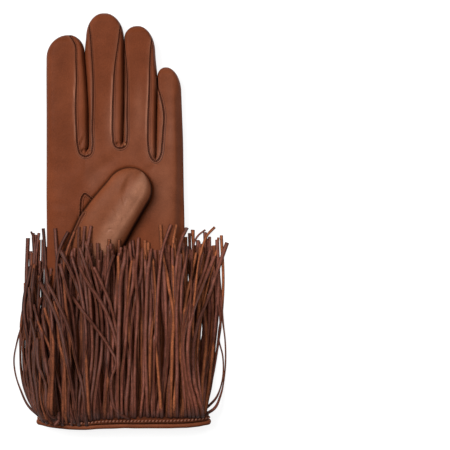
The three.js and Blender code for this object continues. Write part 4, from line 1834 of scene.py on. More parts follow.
    def cover(self, strip: Strip, centre: Array, turn: Array) -> None:
        """Add the strip's skin to the pile.

        Args:
            strip: The strip.
            centre: Its middle line.
            turn: How far it has turned about that line.
        """
        cut = self.cut
        ahead = unit(np.gradient(centre, axis=0))
        level = unit(np.column_stack([ahead[:, 1], -ahead[:, 0], np.zeros(len(ahead))]))
        up = np.cross(level, ahead)
        side = level * np.cos(turn)[:, None] + up * np.sin(turn)[:, None]
        over = unit(np.cross(side, ahead))
        shift = self.chance.uniform(0, cut.width_shift)
        waver = np.sin(np.linspace(0, cut.width_waves, len(centre)) + shift)
        width = strip.width * cut.slim * (1 + cut.width_waver * waver)
        section = [centre + side * (a * width)[:, None] + over * b * cut.thick for a, b in self.SECTION]
        run = cut.step * np.arange(len(centre))[:, None]
        values = {
            # across runs from 0 on the middle of each face to 1 at the corners; it places the painted crest
            # highlight and the painted edge shade
            "across": np.array([abs(2 * a) for a, _ in self.SECTION]),
            # Painted shade where each strip leaves the band, weaker on strips that lie over it
            "root": hump(run, cut.root_shade_fade) * (cut.over_root_shade if strip.over else 1.0),
        }
        grid = Skin.from_grid(np.stack(section, axis=1), values, loop=True)
        sides = len(self.SECTION)
        last = len(centre) - 1
        grid.faces.append(tuple(range(sides - 1, -1, -1)))
        grid.faces.append(tuple(last * sides + i for i in range(sides)))
        upper, lower = self.FLESH[strip.face]
        kind = np.full(sides, self.CUT_EDGE)
        kind[list(self.UPPER)] = upper
        kind[list(self.LOWER)] = lower
        kinds = np.concatenate([np.tile(kind, last), [self.CUT_EDGE, self.CUT_EDGE]])
        self.skins.append(grid)
        self.faces.append(kinds)
        # Tone rises towards the little finger side; below zero the pattern paints it with shade
        lighter = cut.lighter * centre[:, 0].mean() + cut.tone_shift
        self.tones.append(np.full(len(kinds), self.chance.uniform(*cut.tones) + lighter))

    def add_header(self, header: Skin) -> None:
        """Add the uncut strip of leather that the strips hang from.

        Args:
            header: Its skin.
        """
        # The header is painted with shade all over, as it lies under the band
        values = {"across": np.zeros(len(header.points)), "root": np.ones(len(header.points))}
        self.skins.insert(0, Skin(header.points, header.faces, values))
        self.faces.insert(0, np.zeros(len(header.faces)))
        self.tones.insert(0, np.full(len(header.faces), self.cut.header_tone))

    def build(self, name: str, material: Material, node: str) -> None:
        """Make the pile as one piece.

        Args:
            name: Name of the piece.
            material: Its material.
            node: Part of the glove that it stands for.
        """
        tones = np.clip(np.concatenate(self.tones), *self.cut.tone_range)
        values = {"flesh": np.concatenate(self.faces), "tone": tones}
        seat(add_piece(name, Skin.joined(self.skins), [material], face_values=values), Slot.FRINGE, node)


# Strips that the eye picks out on the palm side, from those that lie lowest to those on top
LOWEST_STRIPS = (
    Strip(Face.GRAIN, 1.7, True, (-48.7, -116.9, -55.2, -111.9, -60.7, -101.8, -63.7, -92.6, -64.6, -85.2,
        -62.5, -72.4, -59.8, -63.2, -57.9, -48.5)),
    Strip(Face.GRAIN, 2.0, True, (-49.2, -113.7, -54.3, -109.1, -57.9, -101.8, -60.2, -89.8, -60.7, -76.1,
        -59.3, -57.7, -57.7, -44.8)),
    Strip(Face.GRAIN, 2.2, False, (-49.7, -111.9, -53.3, -103.6, -57.9, -90.8, -58.8, -76.1, -57.9, -63.2,
        -56.5, -50.3)),
    Strip(Face.GRAIN, 2.0, True, (52.3, -115.5, 56.9, -112.8, 60.6, -105.4, 63.1, -92.6, 63.5, -74.2,
        61.9, -59.5, 60.6, -44.8, 59.6, -32.0)),
    Strip(Face.GRAIN, 1.9, True, (52.7, -112.8, 57.8, -107.3, 61.5, -97.2, 61.9, -81.6, 59.6, -71.5,
        60.6, -60.4, 59.2, -48.5)),
    Strip(Face.GRAIN, 2.0, True, (52.3, -110.0, 55.0, -99.0, 56.6, -85.2, 57.3, -71.5, 56.1, -57.7,
        56.9, -44.8)),
    Strip(Face.GRAIN, 2.2, False, (52.3, -112.8, 51.8, -99.0, 51.4, -80.6, 52.3, -62.3, 53.4, -44.8)),
    Strip(Face.GRAIN, 2.7, False, (-48.7, -114.6, -50.6, -103.6, -53.3, -85.2, -54.4, -72.4, -55.0, -57.7,
        -55.6, -39.3, -56.1, -27.4)),
    Strip(Face.GRAIN, 2.4, False, (-47.6, -114.6, -50.8, -85.2, -51.9, -66.9, -53.6, -48.5, -54.3, -30.1,
        -54.5, -18.2)),
    Strip(Face.FLESH, 2.1, False, (-49.2, -112.8, -50.9, -107.3, -52.0, -94.4, -53.8, -81.6, -56.5, -71.5,
        -57.5, -57.7, -57.9, -37.5)),
    Strip(Face.GRAIN, 1.5, True, (-46.7, -114.6, -49.5, -85.2, -50.4, -57.7, -49.5, -30.1, -50.0, -17.3,
        -52.0, -11.8, -54.3, -6.3)),
    Strip(Face.FLESH, 2.2, False, (-46.0, -115.5, -47.6, -76.1, -50.4, -39.3, -52.0, -23.7, -52.5, -15.4,
        -52.9, -7.2)),
    Strip(Face.FLESH, 2.0, False, (-45.1, -115.5, -47.6, -66.9, -50.9, -32.0, -50.9, -21.0, -50.3, -14.5,
        -49.5, -7.2)),
)

UPPER_STRIPS = (
    Strip(Face.FLESH, 2.4, False, (-41.4, -115.5, -40.0, -76.1, -41.6, -55.9, -42.5, -44.8, -44.1, -32.0,
        -45.5, -19.1, -46.9, -4.4)),
    Strip(Face.FLESH, 2.4, False, (-39.6, -115.5, -39.4, -66.9, -41.4, -48.5, -43.2, -35.6, -44.9, -27.4)),
    Strip(Face.FLESH, 2.5, False, (-33.1, -115.5, -32.2, -76.1, -33.6, -48.5, -36.3, -27.4, -37.7, -16.4,
        -38.6, -4.4)),
    Strip(Face.FLESH, 2.3, False, (-31.3, -115.5, -32.2, -76.1, -35.7, -37.5, -36.8, -23.7, -34.5, -14.1,
        -30.6, -6.3)),
    Strip(Face.GRAIN, 2.4, False, (-29.9, -115.5, -28.5, -76.1, -32.0, -41.2, -32.7, -25.5, -30.2, -15.4,
        -26.5, -6.3)),
    Strip(Face.GRAIN, 2.5, False, (-23.9, -116.5, -20.3, -76.1, -21.6, -41.2, -23.2, -23.7, -24.1, -14.5,
        -23.8, -3.3)),
    Strip(Face.GRAIN, 2.4, False, (-21.6, -116.5, -17.5, -76.1, -19.8, -39.3, -21.6, -21.0, -20.9, -10.8,
        -20.1, -3.0)),
    Strip(Face.GRAIN, 2.2, False, (-18.9, -116.5, -15.5, -76.1, -17.3, -41.2, -19.2, -22.8, -17.7, -10.8,
        -16.2, -2.8)),
    Strip(Face.GRAIN, 2.5, False, (-16.6, -116.5, -12.9, -76.1, -14.3, -44.8, -17.5, -32.9, -20.5, -24.2,
        -23.5, -15.4)),
    Strip(Face.GRAIN, 2.4, False, (-14.3, -116.5, -10.3, -76.1, -11.5, -44.8, -14.0, -33.8, -16.6, -23.7,
        -19.7, -11.8)),
    Strip(Face.GRAIN, 2.4, False, (-25.8, -116.5, -25.3, -85.2, -26.7, -63.2, -28.5, -48.5, -31.5, -37.5,
        -35.0, -25.5)),
    Strip(Face.GRAIN, 2.6, False, (-19.4, -116.5, -20.1, -76.1, -21.0, -50.3, -25.3, -37.5, -30.2, -26.5,
        -34.8, -17.5)),
    Strip(Face.FLESH, 2.5, False, (-17.5, -116.5, -18.9, -85.2, -19.2, -63.2, -20.5, -52.2, -23.0, -39.3,
        -25.6, -30.1, -28.4, -21.0)),
    Strip(Face.FLESH, 3.0, False, (-8.3, -116.5, -6.3, -94.4, -6.3, -76.1, -6.9, -59.5, -8.3, -50.3,
        -7.6, -39.3, -5.4, -28.3, -2.6, -20.0)),
    Strip(Face.GRAIN, 2.3, False, (4.5, -116.5, 0.9, -85.2, -1.4, -65.0, -5.4, -48.5, -10.0, -37.5,
        -14.6, -27.4)),
    Strip(Face.GRAIN, 2.5, False, (1.8, -116.5, 0.9, -92.6, -0.5, -76.1, -3.3, -65.0, -7.4, -54.0,
        -12.0, -45.7, -18.4, -36.6, -23.4, -26.9)),
    Strip(Face.GRAIN, 2.5, False, (-19.4, -122.4, -21.6, -97.2, -25.3, -82.5, -27.6, -69.6, -32.2, -56.8,
        -37.7, -45.7, -42.7, -37.5), True),
    Strip(Face.GRAIN, 2.7, False, (-23.9, -122.4, -27.4, -99.0, -30.2, -82.5, -33.1, -69.6, -37.7, -55.9,
        -43.2, -44.8, -48.6, -36.6), True),
    Strip(Face.GRAIN, 2.2, False, (6.4, -118.1, 1.8, -115.7, -2.1, -111.4, -4.0, -103.6, -3.9, -92.6,
        -1.4, -83.9, -5.6, -75.1, -12.9, -64.1, -21.6, -52.6, -28.0, -45.0), True),
    Strip(Face.GRAIN, 2.5, False, (1.8, -116.5, 2.2, -94.4, 3.8, -76.1, 5.6, -53.1, 8.2, -39.3,
        9.3, -22.8)),
    Strip(Face.GRAIN, 2.9, False, (-0.5, -116.5, -0.2, -85.2, 0.4, -57.7, 1.3, -34.7, 3.4, -22.8,
        3.4, -15.0)),
    Strip(Face.GRAIN, 2.5, False, (4.5, -116.5, 6.4, -85.2, 8.4, -57.7, 11.1, -41.2, 13.3, -30.1,
        13.9, -16.4)),
    Strip(Face.GRAIN, 2.4, False, (9.6, -116.5, 10.0, -76.1, 11.4, -48.5, 10.2, -30.1, 11.0, -20.0,
        11.5, -9.9)),
    Strip(Face.GRAIN, 2.7, False, (17.2, -116.5, 16.0, -76.1, 16.5, -48.5, 17.0, -34.7, 18.9, -17.5)),
    Strip(Face.FLESH, 2.5, False, (31.2, -116.5, 31.9, -76.1, 32.5, -53.1, 30.2, -41.2, 28.4, -30.1,
        25.8, -18.2, 24.5, -2.1)),
    Strip(Face.FLESH, 2.3, False, (25.2, -116.5, 22.9, -76.1, 23.1, -48.5, 24.3, -30.1, 26.1, -16.8,
        28.4, -9.0, 30.9, -2.1)),
    Strip(Face.FLESH, 2.3, False, (33.0, -116.5, 34.8, -76.1, 33.0, -39.3, 32.1, -18.2, 32.6, -9.9,
        34.1, -2.1)),
    Strip(Face.FLESH, 2.8, False, (37.6, -116.5, 36.7, -76.1, 33.9, -39.3, 35.6, -18.2, 37.6, -9.9,
        40.1, -4.2)),
    Strip(Face.GRAIN, 2.6, False, (34.8, -116.5, 34.8, -76.1, 34.8, -48.5, 36.2, -30.1, 36.8, -20.0)),
    Strip(Face.FLESH, 2.3, False, (38.5, -116.5, 38.1, -76.1, 37.2, -48.5, 37.6, -37.5, 39.8, -23.7,
        40.4, -15.3)),
    Strip(Face.GRAIN, 2.5, False, (39.9, -116.5, 38.1, -85.2, 38.8, -57.7, 40.5, -44.8, 43.8, -30.1,
        46.0, -19.1)),
    Strip(Face.GRAIN, 2.6, False, (42.2, -116.5, 39.0, -85.2, 39.6, -57.7, 43.1, -44.8, 46.8, -32.0,
        49.7, -20.0)),
    Strip(Face.GRAIN, 2.5, False, (44.5, -116.5, 39.9, -89.8, 38.7, -71.5, 41.4, -57.7, 46.8, -41.2,
        51.4, -28.3, 54.3, -17.5)),
    Strip(Face.GRAIN, 1.4, True, (46.8, -116.5, 42.2, -76.1, 43.1, -39.3, 43.4, -23.7, 44.5, -13.6,
        46.8, -9.0, 51.4, -5.3)),
    Strip(Face.FLESH, 1.8, False, (47.7, -116.5, 44.0, -76.1, 45.9, -37.5, 47.7, -23.7, 49.7, -15.4,
        52.5, -8.6, 57.1, -3.7)),
    Strip(Face.GRAIN, 1.8, False, (49.5, -116.5, 46.8, -76.1, 52.3, -41.2, 56.7, -24.6, 58.3, -17.3,
        59.3, -9.9)),
    Strip(Face.GRAIN, 2.7, False, (46.8, -116.5, 42.2, -92.6, 41.4, -71.5, 43.3, -57.7, 47.7, -44.8,
        52.3, -32.9, 57.1, -21.0)),
    Strip(Face.GRAIN, 2.7, False, (50.0, -116.5, 45.1, -94.4, 44.8, -71.5, 47.7, -59.5, 52.3, -48.5,
        57.1, -34.7, 61.5, -21.9, 64.6, -13.0)),
)


@dataclass(frozen=True)
class Layer:
    """A row of strips side by side that fills the fringe between the ones placed singly."""

    count: int
    base: tuple[float, float]
    tip: tuple[float, float]
    tip_y: float
    uneven: float
    wander: float
    bow: float
    flesh_share: float
    seed: int
    shorter: float = 12.0
    waver: float = 1.7
    jitter: float = 0.4
    index_tips: Span = (-42.0, -28.0)
    bend_share: float = 0.6
    widths: Span = (2.1, 2.8)
    edge_share: float = 0.18

    BENDS = ((0.22, 0.6), (0.44, 0.95), (0.72, 0.8))

    def strips(self, cuff: Cuff) -> Iterable[Strip]:
        """Lay out the row, from the index side to the little finger side.

        Args:
            cuff: The cuff that the strips leave.

        Yields:
            Its strips.
        """
        chance = np.random.default_rng(self.seed)
        for number in range(self.count):
            share = number / (self.count - 1)
            base = mix(*self.base, share) + chance.uniform(-self.jitter, self.jitter)
            tip = mix(*self.tip, share) + chance.uniform(-self.wander, self.wander)
            tip_y = self.tip_y + chance.uniform(-self.uneven, self.uneven)
            tip_y -= self.shorter * float(1.0 - smoothstep(*self.index_tips, np.array(tip)))
            bend = (share - 0.5) * self.bow + chance.uniform(-self.wander, self.wander) * self.bend_share
            root = cuff.root(base)
            route = [base, root]
            for s, pull in self.BENDS:
                waver = self.waver * pull * chance.uniform(-1.0, 1.0)
                route += [mix(base, tip, s) + bend * pull + waver, mix(root, tip_y, s)]
            face = Face.FLESH if chance.uniform() < self.flesh_share else Face.GRAIN
            width = chance.uniform(*self.widths)
            yield Strip(face, width, chance.uniform() < self.edge_share, (*route, tip, tip_y))


@dataclass(frozen=True)
class Fringe:
    """The two fringes, the upper one over the palm and thumb and the lower one on the surface.

    Rows of flank and backing strips hold the y of the tip, whether the strip lies on its edge, and its x at
    the flank's stations. Spilled and looped strips are flat routes.
    """

    cuff: Cuff
    cut: Cut
    header_section: tuple[Span, ...] = (
        (-121.0, 0.3), (-121.0, 1.2), (-113.2, 1.25), (-112.6, 0.9), (-112.8, 0.3),
    )
    start: float = 16.1
    upper_seed: int = 17
    lower_seed: int = 19
    field_low: Span = (-72.0, -132.0)
    field_high: Span = (72.0, 6.0)
    field_cell: float = 0.4
    under: Layer = Layer(60, (-46.5, 51.0), (-54.0, 56.0), -16.0, 6.0, 2.4, 9.0, 0.2, 11)
    middle: Layer = Layer(36, (-43.0, 49.0), (-45.0, 53.0), -16.5, 6.0, 4.0, 6.0, 0.2, 12)
    last: Layer = Layer(20, (-34.0, 47.0), (-33.0, 50.0), -19.0, 4.5, 4.0, 3.0, 0.16, 14)
    back: Layer = Layer(50, (-46.5, 51.0), (-56.5, 61.0), -10.0, 6.0, 0.5, 9.0, 0.3, 13, 4.0, 0.5)
    flank_width: float = 1.9
    flank_stations: tuple[float, float, float] = (-116.6, -107.5, -96.0)
    spill_width: float = 2.0
    spill_step: float = 0.1
    spill_sizes: int = 5
    spill_flesh: int = 4
    spill_edgewise: int = 3

    FLANK = (
        (-32.0, True, -48.9, -55.2, -59.4, -60.6, -58.2, -56.0, -57.2),
        (-37.0, False, -48.6, -53.4, -58.0, -57.8, -60.0, -58.6, -55.2),
        (-24.0, True, -48.2, -53.8, -55.6, -58.8, -56.4, -56.8, -56.6),
        (-28.0, False, -47.8, -51.0, -55.8, -55.4, -57.8, -55.0, -53.0),
        (-31.0, False, -47.4, -51.8, -53.2, -56.4, -54.6, -53.2, -54.4),
        (-26.0, False, -47.0, -49.6, -53.4, -53.0, -55.6, -54.4, -51.6),
        (-35.0, False, -46.6, -49.8, -50.2, -53.6, -52.0, -50.8, -52.6),
        (-38.0, False, -46.2, -47.4, -46.6, -47.6, -46.2, -47.0, -46.4),
        (-29.0, False, -45.8, -46.2, -47.8, -46.0, -47.4, -45.8, -45.4),
    )
    BACKING = (
        (-30.0, False, -47.8, -51.6, -55.4, -57.0, -56.4, -55.0, -53.8),
        (-34.0, False, -47.2, -50.4, -53.0, -54.4, -53.6, -52.6, -51.2),
        (-24.0, True, -46.8, -48.8, -49.8, -50.0, -49.8, -49.4, -48.8),
        (-38.0, False, -46.4, -47.4, -47.8, -47.6, -47.3, -47.4, -47.2),
        (-40.0, True, -47.6, -53.0, -57.8, -59.2, -58.2, -56.8, -55.8),
    )
    SPILL = (
        (-45.8, -120.6, -50.8, -104.0, -54.4, -84.0, -53.0, -58.0, -54.8, -40.0),
        (-43.6, -121.6, -45.2, -106.0, -50.4, -88.0, -50.6, -64.0, -47.4, -46.0),
        (-41.2, -120.9, -43.8, -108.0, -42.2, -90.0, -46.8, -68.0, -51.6, -50.0),
        (-38.6, -122.0, -38.2, -108.0, -41.6, -92.0, -40.2, -70.0, -44.8, -52.0),
        (-36.4, -121.2, -39.6, -106.0, -38.4, -88.0, -43.6, -70.0, -46.2, -56.0),
        (-34.0, -122.4, -33.2, -110.0, -36.6, -94.0, -41.2, -76.0, -49.0, -60.0),
        (-31.2, -121.4, -32.8, -106.0, -31.0, -90.0, -35.4, -72.0, -37.0, -46.0),
        (-28.6, -122.2, -27.2, -108.0, -30.4, -92.0, -29.2, -72.0, -33.8, -50.0),
        (-26.4, -121.0, -29.4, -107.0, -28.8, -88.0, -33.0, -66.0, -38.8, -48.0),
    )
    LOOPS = (
        (-35.8, -114.0, -36.4, -119.6, -38.6, -121.6, -41.0, -118.8, -41.8, -112.0, -40.6, -100.0,
         -43.8, -84.0, -46.0, -66.0),
        (-39.0, -121.0, -42.0, -118.6, -44.4, -112.8, -46.6, -104.0, -47.0, -90.0, -50.6, -74.0,
         -52.0, -60.0),
        (-42.0, -119.4, -45.2, -116.8, -47.0, -112.0, -48.6, -102.0, -50.8, -88.0, -50.0, -74.0,
         -53.6, -58.0),
        (-37.0, -118.0, -40.2, -116.2, -42.6, -110.0, -43.2, -98.0, -47.8, -86.0, -49.0, -70.0),
    )

    def header(self, upper: bool) -> Skin:
        """Make the uncut strip of leather under the band, on one side of the cuff.

        Args:
            upper: Whether the palm side is made.

        Returns:
            Its skin.
        """
        rows = []
        for y, offset in (*self.header_section, self.header_section[0]):
            points, _ = self.cuff.ring(y, offset)
            half = len(points) // 2
            chosen = points[: half + 1] if upper else points[[*range(half, 2 * half), 0]]
            sway = self.cuff.SWAY.read("y", chosen[:, 0])
            rows.append(np.column_stack([chosen[:, 0], y + sway, chosen[:, 1]]))
        return Skin.from_grid(np.array(rows), {"across": 0.0}, flip=True).welded()

    def flank(self, rows: Sequence[tuple]) -> Iterable[Strip]:
        """Lay out strips that bow out beside the hand on the index side.

        Args:
            rows: The strips, as rows of FLANK or BACKING.

        Yields:
            The strips.
        """
        for tip_y, on_edge, *across in rows:
            *first, bow = self.flank_stations
            along = (*first, *np.linspace(bow, tip_y, len(across) - len(first)))
            route = tuple(np.ravel(np.column_stack([across, along])))
            yield Strip(Face.GRAIN, self.flank_width, on_edge, route)

    def spill(self) -> Iterable[Strip]:
        """Lay out the strips that start over the band on the index side, in a loose tangle.

        Yields:
            The strips.
        """
        for number, route in enumerate((*self.SPILL, *self.LOOPS)):
            face = Face.FLESH if number % self.spill_flesh == 2 else Face.GRAIN
            width = self.spill_width + self.spill_step * (number % self.spill_sizes)
            yield Strip(face, width, number % self.spill_edgewise == 1, route, True)

    def rooted(self, strips: Iterable[Strip]) -> Iterable[Strip]:
        """Carry strips on to the band that they leave.

        Args:
            strips: The strips.

        Yields:
            The longer strips.
        """
        for strip in strips:
            x, y = strip.route[:2]
            root = () if strip.over else (x, min(self.cuff.root(x), y - 1.0))
            yield replace(strip, route=(*root, *strip.route))

    def ground(self) -> HeightField:
        """Level field to lay strips on."""
        return HeightField(self.field_low, self.field_high, self.field_cell)

    def upper(self, surfaces: Sequence[BVHTree], material: Material) -> None:
        """Lay the fringe on the palm side.

        Args:
            surfaces: What it lies on.
            material: Its material.
        """
        ground = self.ground()
        ground.probe(surfaces)
        pile = Pile(ground, self.cut, self.upper_seed, self.start)
        layers = [layer.strips(self.cuff) for layer in (self.under, self.middle, self.last)]
        rows = (LOWEST_STRIPS, self.flank(self.FLANK), *layers, self.spill(), self.rooted(UPPER_STRIPS))
        for row in rows:
            for strip in row:
                pile.lay(strip)
        pile.add_header(self.header(True))
        pile.build("fringe_palm_side_strips", material, "fringe_palm_side")

    def lower(self, material: Material) -> None:
        """Lay the fringe on the back, on the surface that the glove rests on.

        Args:
            material: Its material.
        """
        pile = Pile(self.ground(), self.cut, self.lower_seed)
        for strip in (*self.back.strips(self.cuff), *self.flank(self.BACKING)):
            pile.lay(strip, stiff=False)
        pile.add_header(self.header(False))
        pile.build("fringe_back_side_strips", material, "fringe_back_side")


# Finishes


@dataclass(frozen=True)
class Noise:
    """A noise from 0 to 1 with features of about one over scale metres."""

    scale: float
    detail: float = 3.0
    warp: float = 0.0


@dataclass(frozen=True)
class Ramp:
    """A range of a value, and the range that it is moved to and kept inside."""

    low: float
    high: float
    first: float = 0.0
    last: float = 1.0


class Graph:
    """Adds nodes to a node tree and links them."""

    def __init__(self, tree: bpy.types.NodeTree) -> None:
        """Keep the tree."""
        self.tree = tree

    def feed(self, node: bpy.types.Node, inputs: dict) -> None:
        """Set the inputs of a node.

        Args:
            node: The node.
            inputs: Its inputs by name or number, as values or as sockets to link.
        """
        for name, value in inputs.items():
            if isinstance(value, Socket):
                self.tree.links.new(value, node.inputs[name])
            else:
                node.inputs[name].default_value = value

    def add(self, kind: str, inputs: dict | None = None, **settings: object) -> bpy.types.Node:
        """Add one node.

        Args:
            kind: Type of the node.
            inputs: Its inputs, as feed takes them.
            **settings: Its own settings.

        Returns:
            The node.
        """
        node = self.tree.nodes.new(kind)
        for name, value in settings.items():
            setattr(node, name, value)
        self.feed(node, inputs or {})
        return node

    def place(self) -> Socket:
        """Place on the object, in metres."""
        return self.add("ShaderNodeTexCoord").outputs["Object"]

    def attribute(self, name: str) -> Socket:
        """Value that a skin carries under a name."""
        return self.add("ShaderNodeAttribute", attribute_name=name).outputs["Fac"]

    def maths(self, operation: str, first: object, second: object = 0.0) -> Socket:
        """Result of one arithmetic step."""
        return self.add("ShaderNodeMath", {0: first, 1: second}, operation=operation).outputs[0]

    def plus(self, first: object, second: object) -> Socket:
        """Sum of two values."""
        return self.maths("ADD", first, second)

    def times(self, first: object, second: object) -> Socket:
        """Product of two values."""
        return self.maths("MULTIPLY", first, second)

    def away(self, value: object, middle: float) -> Socket:
        """Distance of a value from a middle one."""
        return self.maths("ABSOLUTE", self.maths("SUBTRACT", value, middle))

    def spread(self, value: object, ramp: Ramp, how: str = "LINEAR") -> Socket:
        """Value moved along a ramp.

        Args:
            value: The value.
            ramp: Its range and the new one.
            how: Course between the ends.

        Returns:
            The new value.
        """
        ends = {"From Min": ramp.low, "From Max": ramp.high, "To Min": ramp.first, "To Max": ramp.last}
        made = self.add("ShaderNodeMapRange", {"Value": value, **ends}, interpolation_type=how)
        return made.outputs["Result"]

    def blend(self, share: object, first: object, second: object, how: str = "MIX") -> Socket:
        """Mix of two colours.

        Args:
            share: Share of the second one.
            first: The first colour.
            second: The second colour.
            how: Way of mixing.

        Returns:
            The mixed colour.
        """
        inputs = {0: share, 6: first, 7: second}
        return self.add("ShaderNodeMix", inputs, data_type="RGBA", blend_type=how).outputs[2]

    def shaded(self, colour: object, factor: object) -> Socket:
        """Colour made lighter or darker by a factor."""
        grey = self.add("ShaderNodeCombineColor", {0: factor, 1: factor, 2: factor})
        return self.blend(1.0, colour, grey.outputs[0], "MULTIPLY")

    def noise(self, where: object, noise: Noise) -> Socket:
        """Value of a noise at a place."""
        inputs = {"Vector": where, "Scale": noise.scale, "Detail": noise.detail, "Distortion": noise.warp}
        return self.add("ShaderNodeTexNoise", inputs).outputs["Fac"]

    def bump(self, depth: float, height: object) -> Socket:
        """Normal that a relief of a depth in metres gives the surface."""
        made = self.add("ShaderNodeBump", {"Strength": 1.0, "Distance": depth, "Height": height})
        return made.outputs["Normal"]


def new_group(
    name: str, inputs: dict[str, object], outputs: dict[str, str]
) -> tuple[Graph, dict, bpy.types.Node]:
    """Start a node group with named sockets.

    Args:
        name: Name of the group.
        inputs: Default value of each input; a tuple makes a colour, a number makes a value.
        outputs: Socket type of each output.

    Returns:
        A graph of the group, its input sockets by name and its output node.
    """
    tree = bpy.data.node_groups.new(name, "ShaderNodeTree")
    for label, value in inputs.items():
        kind = "NodeSocketColor" if isinstance(value, tuple) else "NodeSocketFloat"
        tree.interface.new_socket(label, in_out="INPUT", socket_type=kind).default_value = value
    for label, kind in outputs.items():
        tree.interface.new_socket(label, in_out="OUTPUT", socket_type=kind)
    graph = Graph(tree)
    entry = graph.add("NodeGroupInput")
    return graph, {label: entry.outputs[label] for label in inputs}, graph.add("NodeGroupOutput")


def new_material(name: str) -> tuple[Material, Graph, bpy.types.Node]:
    """Start a material.

    Args:
        name: Its name.

    Returns:
        The material, a graph of its nodes and its shader.
    """
    made = bpy.data.materials.new(name)
    made.use_nodes = True
    return made, Graph(made.node_tree), made.node_tree.nodes["Principled BSDF"]


@dataclass(frozen=True)
class LambskinPattern:
    """Pattern of lambskin: mottled dye, pores, fine wrinkles, painted sheen, painted highlights and painted
    shade, and seam lines darkened by the stitch holes and by painted shade.

    The painted light that a skin carries runs from -1, the darkest painted shade, to 2, the brightest
    painted highlight; from 0 to 1 it also sets the leather's coat of gloss.
    """

    mottle: Noise = Noise(34.0, 5.0, 0.3)
    cloud: Noise = Noise(120.0, 4.0)
    grit: Noise = Noise(1300.0, 2.0)
    fine: Noise = Noise(900.0, 2.0)
    folds: Noise = Noise(95.0, 3.0, 1.4)
    pores: float = 1500.0
    plain: Colour = (0.1, 0.03, 0.02, 1.0)
    darker: Ramp = Ramp(0.34, 0.56, 1.0, 0.0)
    lighter: Ramp = Ramp(0.52, 0.74)
    # Painted sheen in patches where the painted light runs from 0 to 1
    painted_light: Ramp = Ramp(0.0, 1.0)
    sheen_patches: Ramp = Ramp(0.3, 0.7, 0.8, 1.15)
    # Painted highlight where the painted light runs from 0.7 to 2
    wear_and_sheen: Ramp = Ramp(0.7, 2.0, 0.0, 0.8)
    painted_highlight_colour: Colour = (0.29, 0.117, 0.068, 1.0)
    speck: Ramp = Ramp(0.35, 0.65, 0.86, 1.14)
    # Painted shade where the painted light is below zero
    painted_shade: Ramp = Ramp(-1.0, 0.0, 0.1, 1.0)
    # Painted highlight on the lips beside the seams
    lip_rise: Ramp = Ramp(0.2, 0.8)
    lip_fall: Ramp = Ramp(0.85, 1.55, 1.0, 0.0)
    lip_round: Ramp = Ramp(0.0, 1.0)
    lip_share: float = 0.02
    lip_highlight_colour: Colour = (0.26, 0.1, 0.06, 1.0)
    # Dark seam line: the dark of the stitch holes and painted shade in the seam's crease
    sewn: Ramp = Ramp(0.14, 0.6, 0.82, 0.0)
    seam_shade_colour: Colour = (0.034, 0.0076, 0.0036, 1.0)
    roughness: float = 0.5
    rougher: Ramp = Ramp(0.3, 0.7, -0.05, 0.07)
    ridge: float = 6.5
    pore_height: float = 0.55
    fine_height: float = 0.5
    crease: Ramp = Ramp(0.0, 0.035, 1.0, 0.0)
    crease_depth: float = 0.5
    gloss: Ramp = Ramp(0.0, 1.0, 0.0, 0.14)

    def group(self) -> bpy.types.NodeTree:
        """Make the pattern's node group.

        Returns:
            The group, with a finish's colours as inputs.
        """
        graph, given, result = new_group(
            "Lambskin",
            {"Base": self.plain, "Dark": self.plain, "Light": self.plain, "Painted Sheen": self.plain,
             "Roughness": self.roughness, "Seam": UNSEWN, "Painted Light And Gloss": 0.0, "Ridge": self.ridge},
            {"Color": "NodeSocketColor", "Roughness": "NodeSocketFloat", "Height": "NodeSocketFloat",
             "Gloss": "NodeSocketFloat"},
        )
        where, painted_light_and_gloss = graph.place(), given["Painted Light And Gloss"]
        mottle, cloud, fine, folds = (
            graph.noise(where, noise) for noise in (self.mottle, self.cloud, self.fine, self.folds)
        )
        tone = graph.blend(graph.spread(mottle, self.darker), given["Base"], given["Dark"])
        tone = graph.blend(graph.spread(mottle, self.lighter), tone, given["Light"])
        # Painted sheen in patches, then a stronger painted highlight
        painted_light = graph.times(graph.spread(painted_light_and_gloss, self.painted_light), graph.spread(cloud, self.sheen_patches))
        tone = graph.blend(painted_light, tone, given["Painted Sheen"])
        tone = graph.blend(graph.spread(painted_light_and_gloss, self.wear_and_sheen), tone, self.painted_highlight_colour)
        grit = graph.times(graph.plus(cloud, graph.noise(where, self.grit)), 0.5)
        tone = graph.shaded(tone, graph.spread(grit, self.speck))
        # Painted shade where the painted light is below zero
        tone = graph.shaded(tone, graph.spread(painted_light_and_gloss, self.painted_shade))
        away = graph.maths("ABSOLUTE", given["Seam"])
        lip = graph.times(graph.spread(away, self.lip_rise), graph.spread(away, self.lip_fall))
        lip = graph.spread(lip, self.lip_round, "SMOOTHSTEP")
        # Painted highlight on the seam lips; the same lips also raise the bump
        lip_share = graph.times(lip, graph.times(given["Ridge"], self.lip_share))
        tone = graph.blend(lip_share, tone, self.lip_highlight_colour)
        # Dark seam line, partly painted shade in the crease
        tone = graph.blend(graph.spread(away, self.sewn), tone, self.seam_shade_colour)
        pores = graph.add("ShaderNodeTexVoronoi", {"Vector": where, "Scale": self.pores}).outputs["Distance"]
        height = graph.plus(graph.times(pores, self.pore_height), graph.times(fine, self.fine_height))
        crease = graph.spread(graph.away(folds, 0.5), self.crease)
        height = graph.maths("SUBTRACT", height, graph.times(crease, self.crease_depth))
        graph.feed(result, {
            "Color": tone,
            "Roughness": graph.plus(given["Roughness"], graph.spread(fine, self.rougher)),
            "Height": graph.plus(height, graph.times(lip, given["Ridge"])),
            "Gloss": graph.spread(painted_light_and_gloss, self.gloss),
        })
        return graph.tree


